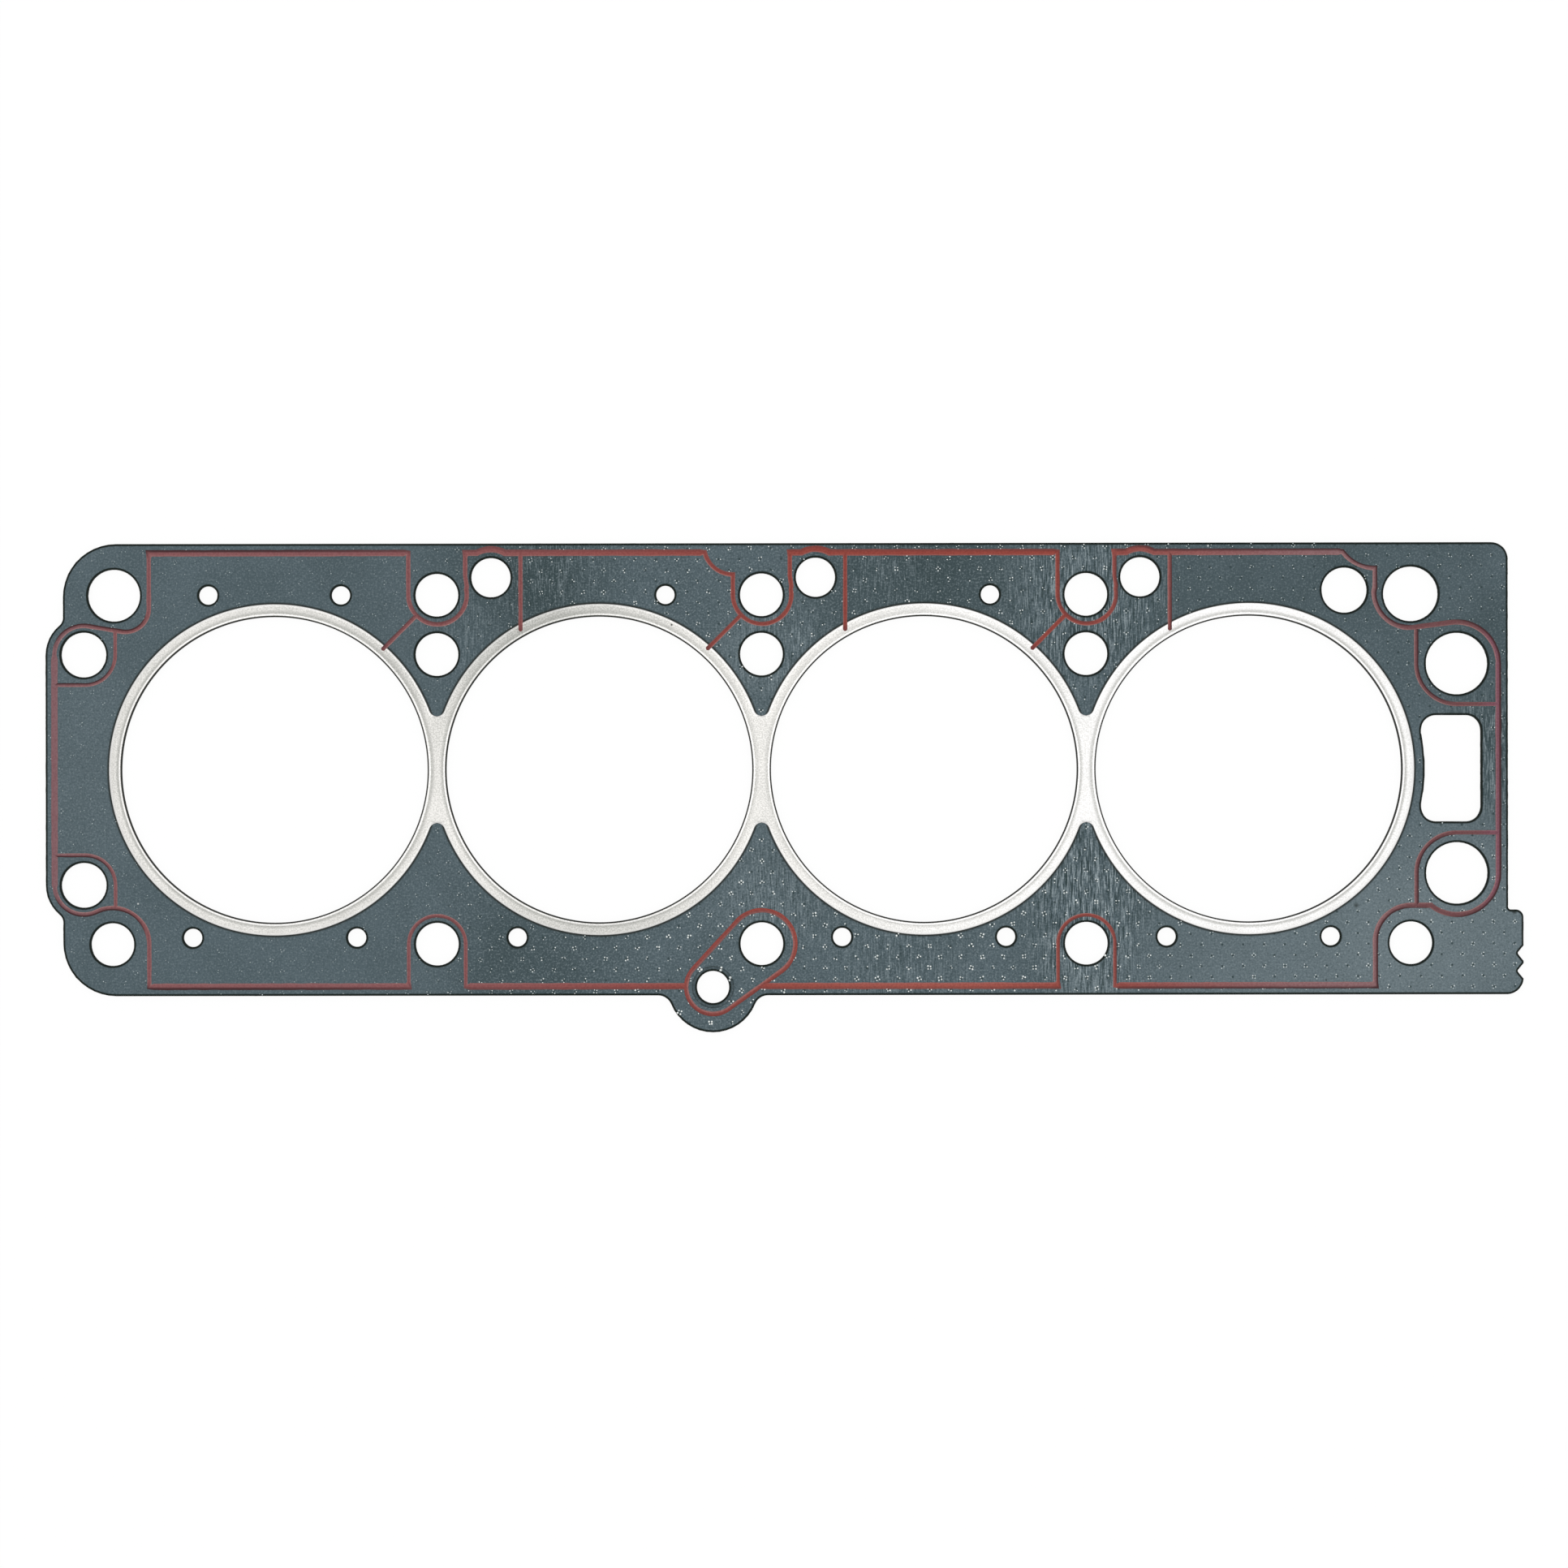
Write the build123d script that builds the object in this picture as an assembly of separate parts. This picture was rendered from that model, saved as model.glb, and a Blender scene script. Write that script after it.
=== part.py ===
from build123d import *
from math import acos, atan2, cos, degrees, hypot, radians, sin, sqrt
import os

# Cylinder head gasket for an in-line four, lying as it does on the engine block.
# Millimetres. X runs along the row of bores, Z points up, away from the block.
# The origin is the middle of the bolt pattern, on the plane of the block's deck.

# Layers, from the deck upwards
armour_sheet = 0.2
facing_thickness = 0.525
core_thickness = 0.25

# Cylinder bores and the armour that lines them
bore_count = 4
bore_radius = 43.8
web_width = 5.4
wall_clearance = 0.1
flange_width = 3.7
flange_valley_radius = 2.2
fold_width = 2.1
bend_radius = 0.3
rim_dip = 0.08
rim_slope = 1.3

# Bolt rows, and the passages that are placed from the bolts
bolt_row_margin = 6.2
bolt_hole_radius = 6.1
front_dowel_radius = 7.4
front_dowel_shift = 0.5
rear_dowel_radius = 7.8
inner_passage_radius = 6.1
inner_passage_drop = 17.0
outer_passage_radius = 5.6
outer_passage_shift = 15.5
outer_passage_rise = 5.0

# Metering holes on both sides of each bore
metering_radius = 2.6
upper_metering_shift = 19.0
lower_metering_shift = 23.5
lower_metering_drop = 1.9

# Front end, on the left: two water holes in ears
ear_shift = 8.2
ear_drop = 17.0
ear_hole_radius = 6.4
ear_radius = 11.0
ear_fillet = 3.0
shoulder_shift = 14.2
shoulder_radius = 15.2

# Rear end, on the right: one round hole, two large water holes and a slot
rear_hole_shift = 19.0
rear_hole_rise = 1.1
rear_hole_radius = 6.45
rear_water_shift = 13.2
rear_water_drop = 20.0
rear_water_radius = 8.8
slot_shift = 3.0
slot_width = 17.0
slot_height = 30.4
slot_corner_radius = 4.2
slot_wall = 3.05

# Oil return, in its lobe on the lower edge
oil_x = -14.0
oil_drop = 12.4
oil_radius = 4.6
oil_clearing = 15.0
lobe_radius = 13.0
lobe_fillet = 4.0
coin_radius = 6.1
coin_depth = 0.1

# Long edges, rear edge and the notched tab on it
edge_margin = 14.8
rear_margin = 27.9
rear_corner_radius = 4.8
tab_reach = 4.4
tab_height = 24.3
tab_top_radius = 2.2
tab_root_radius = 0.8
notch_count = 2
notch_first_drop = 12.5
notch_pitch = 5.1
notch_depth = 1.8
notch_height = 4.4
notch_root_radius = 0.5

# Printed sealing bead: a loop along the edges, an oil loop and thin branches
bead_height = 0.15
run_width = 1.8
bend_width = 1.5
branch_width = 1.1
bead_inset = 2.7
bolt_bead_radius = 8.1
outer_passage_bead_radius = 8.1
front_bead_radius = 10.5
rear_dowel_bead_radius = 10.2
rear_bolt_bead_radius = 10.2
rear_water_bead_radius = 11.9
rear_water_branch_radius = 11.6
ear_branch_radius = 8.6
oil_bead_radius = 7.7
oil_bolt_bead_radius = 9.6
middle_scoop_radius = 8.3
middle_scoop_rise = 2.0
rear_scoop_radius = 11.5
rear_scoop_rise = 6.8
slant_branch_angle = 225.0
straight_branch_shift = 24.0
branch_overlap = 1.3
branch_gap = 0.3
climb_width = 0.2

# Windows pierced in the core, at a coarser pitch than the tangs that they stand for
window_size = 2.0
window_pitch_x = 11.8
window_pitch_y = 9.3
window_margin = 2.5

# Heights and places worked out from the sizes above
body_bottom = armour_sheet
core_bottom = body_bottom + facing_thickness
core_top = core_bottom + core_thickness
body_top = core_top + facing_thickness
flange_top = body_top + armour_sheet
wall_radius = bore_radius + armour_sheet
body_bore_radius = wall_radius + wall_clearance
slope_radius = body_bore_radius + rim_slope
flange_radius = bore_radius + flange_width
fold_radius = bore_radius + fold_width
bore_pitch = 2 * bore_radius + web_width
bore_xs = [(i - (bore_count - 1) / 2) * bore_pitch for i in range(bore_count)]
bolt_xs = [(i - bore_count / 2) * bore_pitch for i in range(bore_count + 1)]
inner_bolt_xs = bolt_xs[1:-1]
front_x = bolt_xs[0]
rear_x = bolt_xs[-1]
bolt_row_y = bore_radius + bolt_row_margin
half_height = bolt_row_y + edge_margin
shoulder_x = front_x - shoulder_shift
ear_x = front_x - ear_shift
ear_y = bolt_row_y - ear_drop
rear_edge_x = rear_x + rear_margin
tab_edge_x = rear_edge_x + tab_reach
tab_top_y = tab_height - half_height
rear_water_x = rear_x + rear_water_shift
rear_water_y = bolt_row_y - rear_water_drop
slot_x = rear_x + slot_shift
oil_y = -(bolt_row_y + oil_drop)
bead_y = half_height - bead_inset
bead_outer_y = bead_y + run_width / 2


# Points and directions


def polar(centre, radius, angle):
    """Point on a circle, at an angle in degrees."""
    x = centre[0] + radius * cos(radians(angle))
    y = centre[1] + radius * sin(radians(angle))
    return x, y


def bearing(start, end):
    """Direction in degrees from one point to another."""
    return degrees(atan2(end[1] - start[1], end[0] - start[0]))


def distance(start, end):
    """Length of the straight line between two points."""
    return hypot(end[0] - start[0], end[1] - start[1])


def half_chord(radius, rise):
    """Half the width of a circle at a height above its centre."""
    return sqrt(radius**2 - rise**2)


def ray_to_circle(start, angle, centre, radius):
    """First point where a ray in the given direction meets a circle."""
    offset_x = centre[0] - start[0]
    offset_y = centre[1] - start[1]
    along = offset_x * cos(radians(angle)) + offset_y * sin(radians(angle))
    across = offset_y * cos(radians(angle)) - offset_x * sin(radians(angle))
    return polar(start, along - half_chord(radius, across), angle)


# Flat shapes


def block(x_low, x_high, y_low, y_high):
    """Rectangle between two corners."""
    middle = Pos((x_low + x_high) / 2, (y_low + y_high) / 2)
    return middle * Rectangle(x_high - x_low, y_high - y_low)


def disc(centre, radius):
    """Filled circle."""
    return Pos(centre[0], centre[1]) * Circle(radius)


def round_corner(sketch, x, y, radius):
    """Fillet the corner of a sketch that lies nearest to a point."""
    corner = sketch.vertices().sort_by_distance((x, y, 0))[0]
    return fillet(corner, radius)


def straight_band(start, end, width):
    """Straight band with round ends."""
    middle = Pos((start[0] + end[0]) / 2, (start[1] + end[1]) / 2)
    turn = Rot(0, 0, bearing(start, end))
    return middle * turn * SlotCenterToCenter(distance(start, end), width)


def curved_band(centre, radius, first_angle, last_angle, width):
    """Band with round ends along an arc, anticlockwise."""
    outer = disc(centre, radius + width / 2)
    inner = disc(centre, radius - width / 2)
    reach = 2 * (radius + width)
    corners = [centre]
    for step in range(5):
        angle = first_angle + (last_angle - first_angle) * step / 4
        corners.append(polar(centre, reach, angle))
    ring = (outer - inner) & Polygon(*corners, align=None)
    ends = [disc(polar(centre, radius, a), width / 2) for a in (first_angle, last_angle)]
    return ring + ends


def belt(first, first_radius, second, second_radius):
    """Region inside a belt drawn round two circles."""
    lean = degrees(acos((first_radius - second_radius) / distance(first, second)))
    middle = bearing(first, second)
    corners = [polar(first, first_radius, middle - lean)]
    corners.append(polar(second, second_radius, middle - lean))
    corners.append(polar(second, second_radius, middle + lean))
    corners.append(polar(first, first_radius, middle + lean))
    straight = Polygon(*corners, align=None)
    return straight + disc(first, first_radius) + disc(second, second_radius)


def mirrored(sketch):
    """The same shape on the other side of the row of bores."""
    return mirror(sketch, about=Plane.XZ)


def slab(plan, bottom, thickness):
    """Flat shape given a thickness, upwards from a height."""
    return Pos(0, 0, bottom) * extrude(plan, amount=thickness, dir=(0, 0, 1))


# Outline and passages of the body


def metering_holes():
    """Small holes above and below the bores, kept away from the oil return."""
    upper_xs = [bore_xs[0] - upper_metering_shift]
    upper_xs += [x + upper_metering_shift for x in bore_xs[:-1]]
    lower_xs = [x + side * lower_metering_shift for x in bore_xs for side in (-1, 1)]
    lower_xs = [x for x in lower_xs if abs(x - oil_x) > oil_clearing]
    holes = [(x, bolt_row_y, metering_radius) for x in upper_xs]
    lower_y = lower_metering_drop - bolt_row_y
    holes += [(x, lower_y, metering_radius) for x in lower_xs]
    return holes


def round_holes():
    """X, Y and radius of each round hole apart from the cylinder bores."""
    holes = [(x, side * bolt_row_y, bolt_hole_radius) for x in inner_bolt_xs for side in (-1, 1)]
    holes += [(x, -bolt_row_y, bolt_hole_radius) for x in (front_x, rear_x)]
    holes.append((front_x + front_dowel_shift, bolt_row_y, front_dowel_radius))
    holes.append((rear_x, bolt_row_y, rear_dowel_radius))
    for x in inner_bolt_xs:
        outer_x = x + outer_passage_shift
        holes.append((x, bolt_row_y - inner_passage_drop, inner_passage_radius))
        holes.append((outer_x, bolt_row_y + outer_passage_rise, outer_passage_radius))
    for side in (-1, 1):
        holes.append((ear_x, side * ear_y, ear_hole_radius))
        holes.append((rear_water_x, side * rear_water_y, rear_water_radius))
    holes.append((rear_x - rear_hole_shift, bolt_row_y + rear_hole_rise, rear_hole_radius))
    holes.append((oil_x, oil_y, oil_radius))
    return holes + metering_holes()


def slot():
    """Rear slot, whose inner side keeps an even wall to the last bore."""
    shape = block(slot_x, slot_x + slot_width, -slot_height / 2, slot_height / 2)
    shape = fillet(shape.vertices(), slot_corner_radius)
    return shape - disc((bore_xs[-1], 0), flange_radius + slot_wall)


def front_ears():
    """Ears round the two front water holes, and the straight edge between them."""
    ears = block(ear_x - ear_radius, ear_x, -ear_y, ear_y)
    return ears + [disc((ear_x, side * ear_y), ear_radius) for side in (-1, 1)]


def tab():
    """Tab on the rear edge with its notches."""
    shape = block(rear_edge_x - tab_reach, tab_edge_x, -half_height, tab_top_y)
    shape = round_corner(shape, tab_edge_x, tab_top_y, tab_top_radius)
    shape = round_corner(shape, tab_edge_x, -half_height, rear_corner_radius)
    for i in range(notch_count):
        y = tab_top_y - notch_first_drop - i * notch_pitch
        root = (tab_edge_x - notch_depth, y)
        mouths = [(tab_edge_x, y + side * notch_height / 2) for side in (-1, 1)]
        notch = Polygon(root, *mouths, align=None)
        shape -= round_corner(notch, *root, notch_root_radius)
    return shape


def outline():
    """Outer edge of the body, with nothing cut out."""
    shape = block(shoulder_x, rear_edge_x, -half_height, half_height)
    shape = round_corner(shape, rear_edge_x, half_height, rear_corner_radius)
    for side in (-1, 1):
        shape = round_corner(shape, shoulder_x, side * half_height, shoulder_radius)
    shape += front_ears()
    ear_corner_y = ear_y + half_chord(ear_radius, ear_x - shoulder_x)
    for side in (-1, 1):
        shape = round_corner(shape, shoulder_x, side * ear_corner_y, ear_fillet)
    shape += disc((oil_x, oil_y), lobe_radius)
    lobe_half_width = half_chord(lobe_radius, half_height + oil_y)
    for side in (-1, 1):
        shape = round_corner(shape, oil_x + side * lobe_half_width, -half_height, lobe_fillet)
    shape += tab()
    return round_corner(shape, rear_edge_x, tab_top_y, tab_root_radius)


def body_plan():
    """Shape that the core and both facings are punched to."""
    holes = [disc((x, y), radius) for x, y, radius in round_holes()]
    holes += [disc((x, 0), body_bore_radius) for x in bore_xs]
    return outline() - holes - slot()


# Core and facings


def window_sites():
    """Places in a staggered grid that are clear of every edge and hole."""
    holes = round_holes() + [(x, 0, flange_radius) for x in bore_xs]
    slot_middle = slot_x + slot_width / 2
    holes.append((slot_middle, 0, hypot(slot_width, slot_height) / 2))
    columns = int((rear_edge_x - shoulder_x) / window_pitch_x)
    rows = int(half_height / window_pitch_y)
    sites = []
    for row in range(-rows, rows + 1):
        for column in range(2 * columns):
            if (row + column) % 2:
                continue
            x = shoulder_x + (column + 1) * window_pitch_x / 2
            y = row * window_pitch_y
            room = min(distance((x, y), hole) - hole[2] for hole in holes)
            edge_room = min(half_height - abs(y), rear_edge_x - x, x - shoulder_x)
            if min(room, edge_room) > window_margin + window_size / 2:
                sites.append((x, y))
    return sites


def steel_core(plan):
    """Steel core, pierced where its tangs were raised."""
    windows = [Pos(x, y) * Rectangle(window_size, window_size) for x, y in window_sites()]
    return slab(plan - windows, core_bottom, core_thickness)


def facing_lower(plan):
    """Soft facing towards the block."""
    return slab(plan, body_bottom, facing_thickness)


def rim_seat():
    """Shallow cone that the armour presses into the upper facing at each bore."""
    corners = [(0, body_top), (slope_radius, body_top)]
    corners += [(body_bore_radius, body_top - rim_dip), (0, body_top - rim_dip)]
    cone = revolve(Plane.XZ * Polygon(*corners, align=None), axis=Axis.Z)
    return [Pos(x, 0, 0) * cone for x in bore_xs]


def facing_upper(plan):
    """Soft facing towards the head, pressed down at the bores and round the oil return."""
    coin = slab(disc((oil_x, oil_y), coin_radius), body_top - coin_depth, coin_depth)
    return slab(plan, core_top, facing_thickness) - rim_seat() - coin


# Bore armour


def spectacle(radius):
    """Discs round all the bores, run together with rounded valleys."""
    shape = Sketch() + [disc((x, 0), radius) for x in bore_xs]
    valley_y = half_chord(radius, bore_pitch / 2)
    for x in inner_bolt_xs:
        for side in (-1, 1):
            shape = round_corner(shape, x, side * valley_y, flange_valley_radius)
    return shape


def armour_section():
    """Section of one eye: flange slope, rolled rim, bore wall and folded rim, as radius and height."""
    dipped_top = flange_top - rim_dip
    dipped_seat = body_top - rim_dip
    rim_x = bore_radius + bend_radius
    edge = Curve() + Line((rim_x, dipped_top), (slope_radius, flange_top))
    edge += Line((slope_radius, flange_top), (slope_radius, body_top))
    edge += Line((slope_radius, body_top), (body_bore_radius, dipped_seat))
    edge += Line((body_bore_radius, dipped_seat), (wall_radius, dipped_seat))
    edge += Line((wall_radius, dipped_seat), (wall_radius, armour_sheet))
    edge += Line((wall_radius, armour_sheet), (fold_radius, armour_sheet))
    edge += Line((fold_radius, armour_sheet), (fold_radius, 0))
    edge += Line((fold_radius, 0), (rim_x, 0))
    edge += RadiusArc((rim_x, 0), (bore_radius, bend_radius), bend_radius)
    edge += Line((bore_radius, bend_radius), (bore_radius, dipped_top - bend_radius))
    edge += RadiusArc((bore_radius, dipped_top - bend_radius), (rim_x, dipped_top), bend_radius)
    return make_face(edge)


def bore_armour():
    """One pressing that lines all the bores."""
    flange = spectacle(flange_radius) - [disc((x, 0), slope_radius) for x in bore_xs]
    armour = slab(flange, body_top, armour_sheet)
    eye = revolve(Plane.XZ * armour_section(), axis=Axis.Z)
    return armour + [Pos(x, 0, 0) * eye for x in bore_xs]


# Sealing beads


def bolt_bends():
    """Bends of the bead round the inner bolts."""
    bends = [
        curved_band((x, bolt_row_y), bolt_bead_radius, 180, 360, bend_width)
        for x in inner_bolt_xs
    ]
    bends += [
        curved_band((x, -bolt_row_y), bolt_bead_radius, 0, 180, bend_width)
        for x in (inner_bolt_xs[0], inner_bolt_xs[-1])
    ]
    return bends


def leg(x, y_low, y_high):
    """Part of the bead that runs across the gasket beside a bolt."""
    return block(x - bend_width / 2, x + bend_width / 2, y_low, y_high)


def edge_run(x_first, x_last, y):
    """Part of the bead that runs along a long edge."""
    return block(x_first, x_last, y - run_width / 2, y + run_width / 2)


def passage_hump(bolt_x):
    """Hump of the bead over the passage behind an upper bolt, and half its width."""
    centre = (bolt_x + outer_passage_shift, bolt_row_y + outer_passage_rise)
    half_width = half_chord(outer_passage_bead_radius, bead_y - centre[1])
    end_angle = bearing(centre, (centre[0] + half_width, bead_y))
    hump = curved_band(centre, outer_passage_bead_radius, end_angle, 180 - end_angle, run_width)
    return hump, half_width


def scoop(leg_x, radius, rise):
    """Curve by which the bead leaves the upper edge for a bolt, and where it starts."""
    centre = (leg_x, bead_y + rise)
    start_x = leg_x - half_chord(radius, rise)
    start_angle = bearing(centre, (start_x, bead_y)) % 360
    curve = disc((start_x, bead_y), run_width / 2)
    curve += curved_band(centre, radius, start_angle, 270, bend_width)
    return curve + leg(leg_x, bolt_row_y, centre[1] - radius + bend_width / 2), start_x


def upper_run():
    """Bead along the upper edge, from the front corner to the rear dowel."""
    run_x = front_x + front_bead_radius
    run = Sketch() + leg(run_x, bolt_row_y, bead_outer_y)
    for i, x in enumerate(inner_bolt_xs):
        turn_x = x - bolt_bead_radius
        if i == len(inner_bolt_xs) // 2:
            curve, turn_x = scoop(turn_x, middle_scoop_radius, middle_scoop_rise)
            run += curve
        else:
            run += leg(turn_x, bolt_row_y, bead_outer_y)
        run += edge_run(run_x, turn_x, bead_y)
        after_x = x + bolt_bead_radius
        hump, half_width = passage_hump(x)
        run_x = x + outer_passage_shift + half_width
        run += leg(after_x, bolt_row_y, bead_outer_y) + hump
        run += edge_run(after_x, run_x - 2 * half_width, bead_y)
    curve, turn_x = scoop(rear_x - rear_dowel_bead_radius, rear_scoop_radius, rear_scoop_rise)
    return run + curve + edge_run(run_x, turn_x, bead_y)


def lower_run():
    """Bead along the lower edge, from the front bolt to the rear bolt."""
    first_x = front_x + front_bead_radius
    last_x = rear_x - rear_bolt_bead_radius
    turns = [first_x]
    for x in (inner_bolt_xs[0], inner_bolt_xs[-1]):
        turns += [x - bolt_bead_radius, x + bolt_bead_radius]
    turns.append(last_x)
    run = Sketch() + [leg(x, -bead_outer_y, -bolt_row_y) for x in turns]
    return run + [edge_run(a, b, -bead_y) for a, b in zip(turns[::2], turns[1::2])]


def front_end():
    """Bead round the upper front dowel hole and ear, with the branch behind the ear."""
    dowel = (front_x, bolt_row_y)
    ear = (ear_x, ear_y)
    ear_bead_radius = distance(dowel, ear) - front_bead_radius
    turn = bearing(dowel, ear)
    edge_x = ear_x - ear_bead_radius
    end = curved_band(dowel, front_bead_radius, turn, 0, bend_width)
    end += curved_band(ear, ear_bead_radius, turn + 180, 180, bend_width)
    end += straight_band((edge_x, ear_y), (edge_x, 0), run_width)
    branch_x = ear_x + ear_branch_radius
    branch_y = ear_y - ear_branch_radius
    end += straight_band((branch_x, bolt_row_y - front_bead_radius), (branch_x, ear_y), branch_width)
    end += curved_band(ear, ear_branch_radius, -90, 0, branch_width)
    return end + straight_band((edge_x, branch_y), (ear_x, branch_y), branch_width)


def rear_end(hole_bead_radius):
    """Bead round the upper rear hole and the water hole beside it, with its branch."""
    hole = (rear_x, bolt_row_y)
    water = (rear_water_x, rear_water_y)
    crossing = (hole_bead_radius + rear_water_bead_radius) / distance(hole, water)
    turn = bearing(hole, water) - degrees(acos(min(crossing, 1)))
    leave = polar(hole, hole_bead_radius, turn)
    arrive = polar(water, rear_water_bead_radius, turn + 180)
    edge_x = rear_water_x + rear_water_bead_radius
    end = curved_band(hole, hole_bead_radius, -180, turn, bend_width)
    end += curved_band(water, rear_water_bead_radius, 0, turn + 180, bend_width)
    end += straight_band(leave, arrive, bend_width)
    end += straight_band((edge_x, rear_water_y), (edge_x, 0), bend_width)
    branch_x = rear_water_x - rear_water_branch_radius
    branch_y = rear_water_y - rear_water_branch_radius
    branch_top = bolt_row_y - hole_bead_radius
    end += straight_band((branch_x, branch_top), (branch_x, rear_water_y), branch_width)
    end += curved_band(water, rear_water_branch_radius, 180, 270, branch_width)
    return end + straight_band((rear_water_x, branch_y), (edge_x, branch_y), branch_width)


def ring_branches(reach):
    """Branches from the upper edge to the bores, ending at a radius from each bore."""
    branches = []
    for x in inner_bolt_xs:
        bolt = (x, bolt_row_y)
        start = polar(bolt, bolt_bead_radius, slant_branch_angle)
        end = ray_to_circle(start, slant_branch_angle, (x - bore_pitch / 2, 0), reach)
        branches.append(straight_band(start, end, branch_width))
        start = (x + straight_branch_shift, bead_y)
        end = ray_to_circle(start, -90, (x + bore_pitch / 2, 0), reach)
        branches.append(straight_band(start, end, branch_width))
    return branches


def oil_belt(offset):
    """Region round the middle bolt and the oil return, out to an offset from the bead."""
    middle_bolt = (inner_bolt_xs[len(inner_bolt_xs) // 2], -bolt_row_y)
    oil = (oil_x, oil_y)
    return belt(middle_bolt, oil_bolt_bead_radius + offset, oil, oil_bead_radius + offset)


def bead_plan(reach):
    """The whole bead seen from above."""
    bead = upper_run() + lower_run() + bolt_bends() + ring_branches(reach)
    bead += front_end() + mirrored(front_end())
    bead += rear_end(rear_dowel_bead_radius) + mirrored(rear_end(rear_bolt_bead_radius))
    return bead + oil_belt(bend_width / 2) - oil_belt(-bend_width / 2)


def sealing_bead_upper():
    """Bead on the upper facing, whose branches climb onto the armour's flange."""
    plan = bead_plan(flange_radius - branch_overlap)
    low = plan - spectacle(flange_radius)
    climb = plan & spectacle(flange_radius + climb_width)
    bead = slab(low, body_top, bead_height) + slab(climb, body_top, armour_sheet + bead_height)
    return bead - slab(spectacle(flange_radius), body_top, armour_sheet)


def sealing_bead_lower():
    """Bead on the lower facing, whose branches stop short of the folded rims."""
    plan = bead_plan(fold_radius + branch_gap + branch_width / 2)
    return slab(plan, body_bottom - bead_height, bead_height)


plan = body_plan()
pieces = {
    "steel_core": steel_core(plan),
    "facing_upper": facing_upper(plan),
    "facing_lower": facing_lower(plan),
    "bore_armour": bore_armour(),
    "sealing_bead_upper": sealing_bead_upper(),
    "sealing_bead_lower": sealing_bead_lower(),
}
os.makedirs("parts", exist_ok=True)
for name, piece in pieces.items():
    piece.label = name
    export_step(piece, f"parts/{name}.step")
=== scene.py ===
"""Dressed scene of a cylinder head gasket, lying flat under a camera that looks straight down on it.

The classes hold their sizes in millimetres, and the meshes are built in metres. model.glb gives the plain
solids. The facings, the bore armour and the sealing beads are built again here with their punched edges,
rolled rims and crowned sections, and the tips of the tangs are added.
"""

import logging
import math
from dataclasses import dataclass
from enum import Enum
from random import Random
from typing import Callable, Iterable, Mapping, Sequence, Union

import bmesh
import bpy
from mathutils import Matrix, Vector, noise
from mathutils.geometry import delaunay_2d_cdt


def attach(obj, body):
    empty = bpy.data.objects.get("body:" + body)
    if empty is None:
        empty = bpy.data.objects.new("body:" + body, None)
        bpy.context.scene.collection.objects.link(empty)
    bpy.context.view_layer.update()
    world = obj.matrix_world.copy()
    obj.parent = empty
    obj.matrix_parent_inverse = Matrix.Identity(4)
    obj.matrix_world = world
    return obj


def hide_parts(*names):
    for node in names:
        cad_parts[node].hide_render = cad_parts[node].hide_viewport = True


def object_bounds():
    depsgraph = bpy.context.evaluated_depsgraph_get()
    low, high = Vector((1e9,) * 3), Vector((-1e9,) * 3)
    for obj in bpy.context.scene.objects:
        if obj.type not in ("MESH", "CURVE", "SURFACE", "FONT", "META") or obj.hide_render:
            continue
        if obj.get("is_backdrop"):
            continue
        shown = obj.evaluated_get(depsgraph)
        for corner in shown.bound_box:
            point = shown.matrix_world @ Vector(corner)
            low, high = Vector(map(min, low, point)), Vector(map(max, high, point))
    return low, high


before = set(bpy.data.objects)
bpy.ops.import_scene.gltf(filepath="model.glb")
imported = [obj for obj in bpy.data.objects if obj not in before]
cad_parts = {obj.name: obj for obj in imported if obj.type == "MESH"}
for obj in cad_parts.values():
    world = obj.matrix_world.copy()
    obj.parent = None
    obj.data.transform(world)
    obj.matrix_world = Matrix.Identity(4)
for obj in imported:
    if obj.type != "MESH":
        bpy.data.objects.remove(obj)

MM = 0.001
BODY = "root"
SHARPEST = 0.6
LOG = logging.getLogger("head_gasket")

Point = tuple[float, float]
Spot = tuple[float, float, float, float]
Route = list[tuple[float, float, float]]
Colour = tuple[float, float, float, float]
Vert = bmesh.types.BMVert


class Slot(Enum):
    """Material slots that each new piece is handed with its finish, though nothing reads them."""

    CORE = "core_steel"
    FACING = "facing"
    ARMOUR = "armour_steel"
    SEALANT = "sealant"


class Side(Enum):
    """The two faces of the gasket, and which way along Z each looks."""

    HEAD = 1
    BLOCK = -1


class Edge(Enum):
    """How a facing's outline is finished."""

    PUNCHED = "drawn down and roughened by the punch"
    SEATED = "flat under the armour's flange"
    PRESSED = "pressed into a ring round the oil return"


def srgb(code: str) -> Colour:
    """Turn a colour written as six hexadecimal digits into linear light.

    Args:
        code: Red, green and blue, two digits each.

    Returns:
        The linear colour with full opacity.
    """
    channels = [int(code[i : i + 2], 16) / 255 for i in (0, 2, 4)]
    linear = [c / 12.92 if c <= 0.04045 else ((c + 0.055) / 1.055) ** 2.4 for c in channels]
    return (linear[0], linear[1], linear[2], 1.0)


def polar(centre: Point, radius: float, angle: float) -> Point:
    """Return the point on a circle at an angle in degrees."""
    turn = math.radians(angle)
    return (centre[0] + radius * math.cos(turn), centre[1] + radius * math.sin(turn))


def bearing(start: Point, end: Point) -> float:
    """Return the direction in degrees from one point to another."""
    return math.degrees(math.atan2(end[1] - start[1], end[0] - start[0]))


def ease(value: float, low: float, high: float) -> float:
    """Return 0 below low, 1 above high, and a smooth step between them."""
    share = min(1.0, max(0.0, (value - low) / (high - low)))
    return share * share * (3 - 2 * share)


def bell(value: float, middle: float, width: float) -> float:
    """Return 1 at a middle, and a bell-shaped fall to both sides."""
    return math.exp(-(((value - middle) / width) ** 2))


# Sizes that the pieces and finishes share


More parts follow.
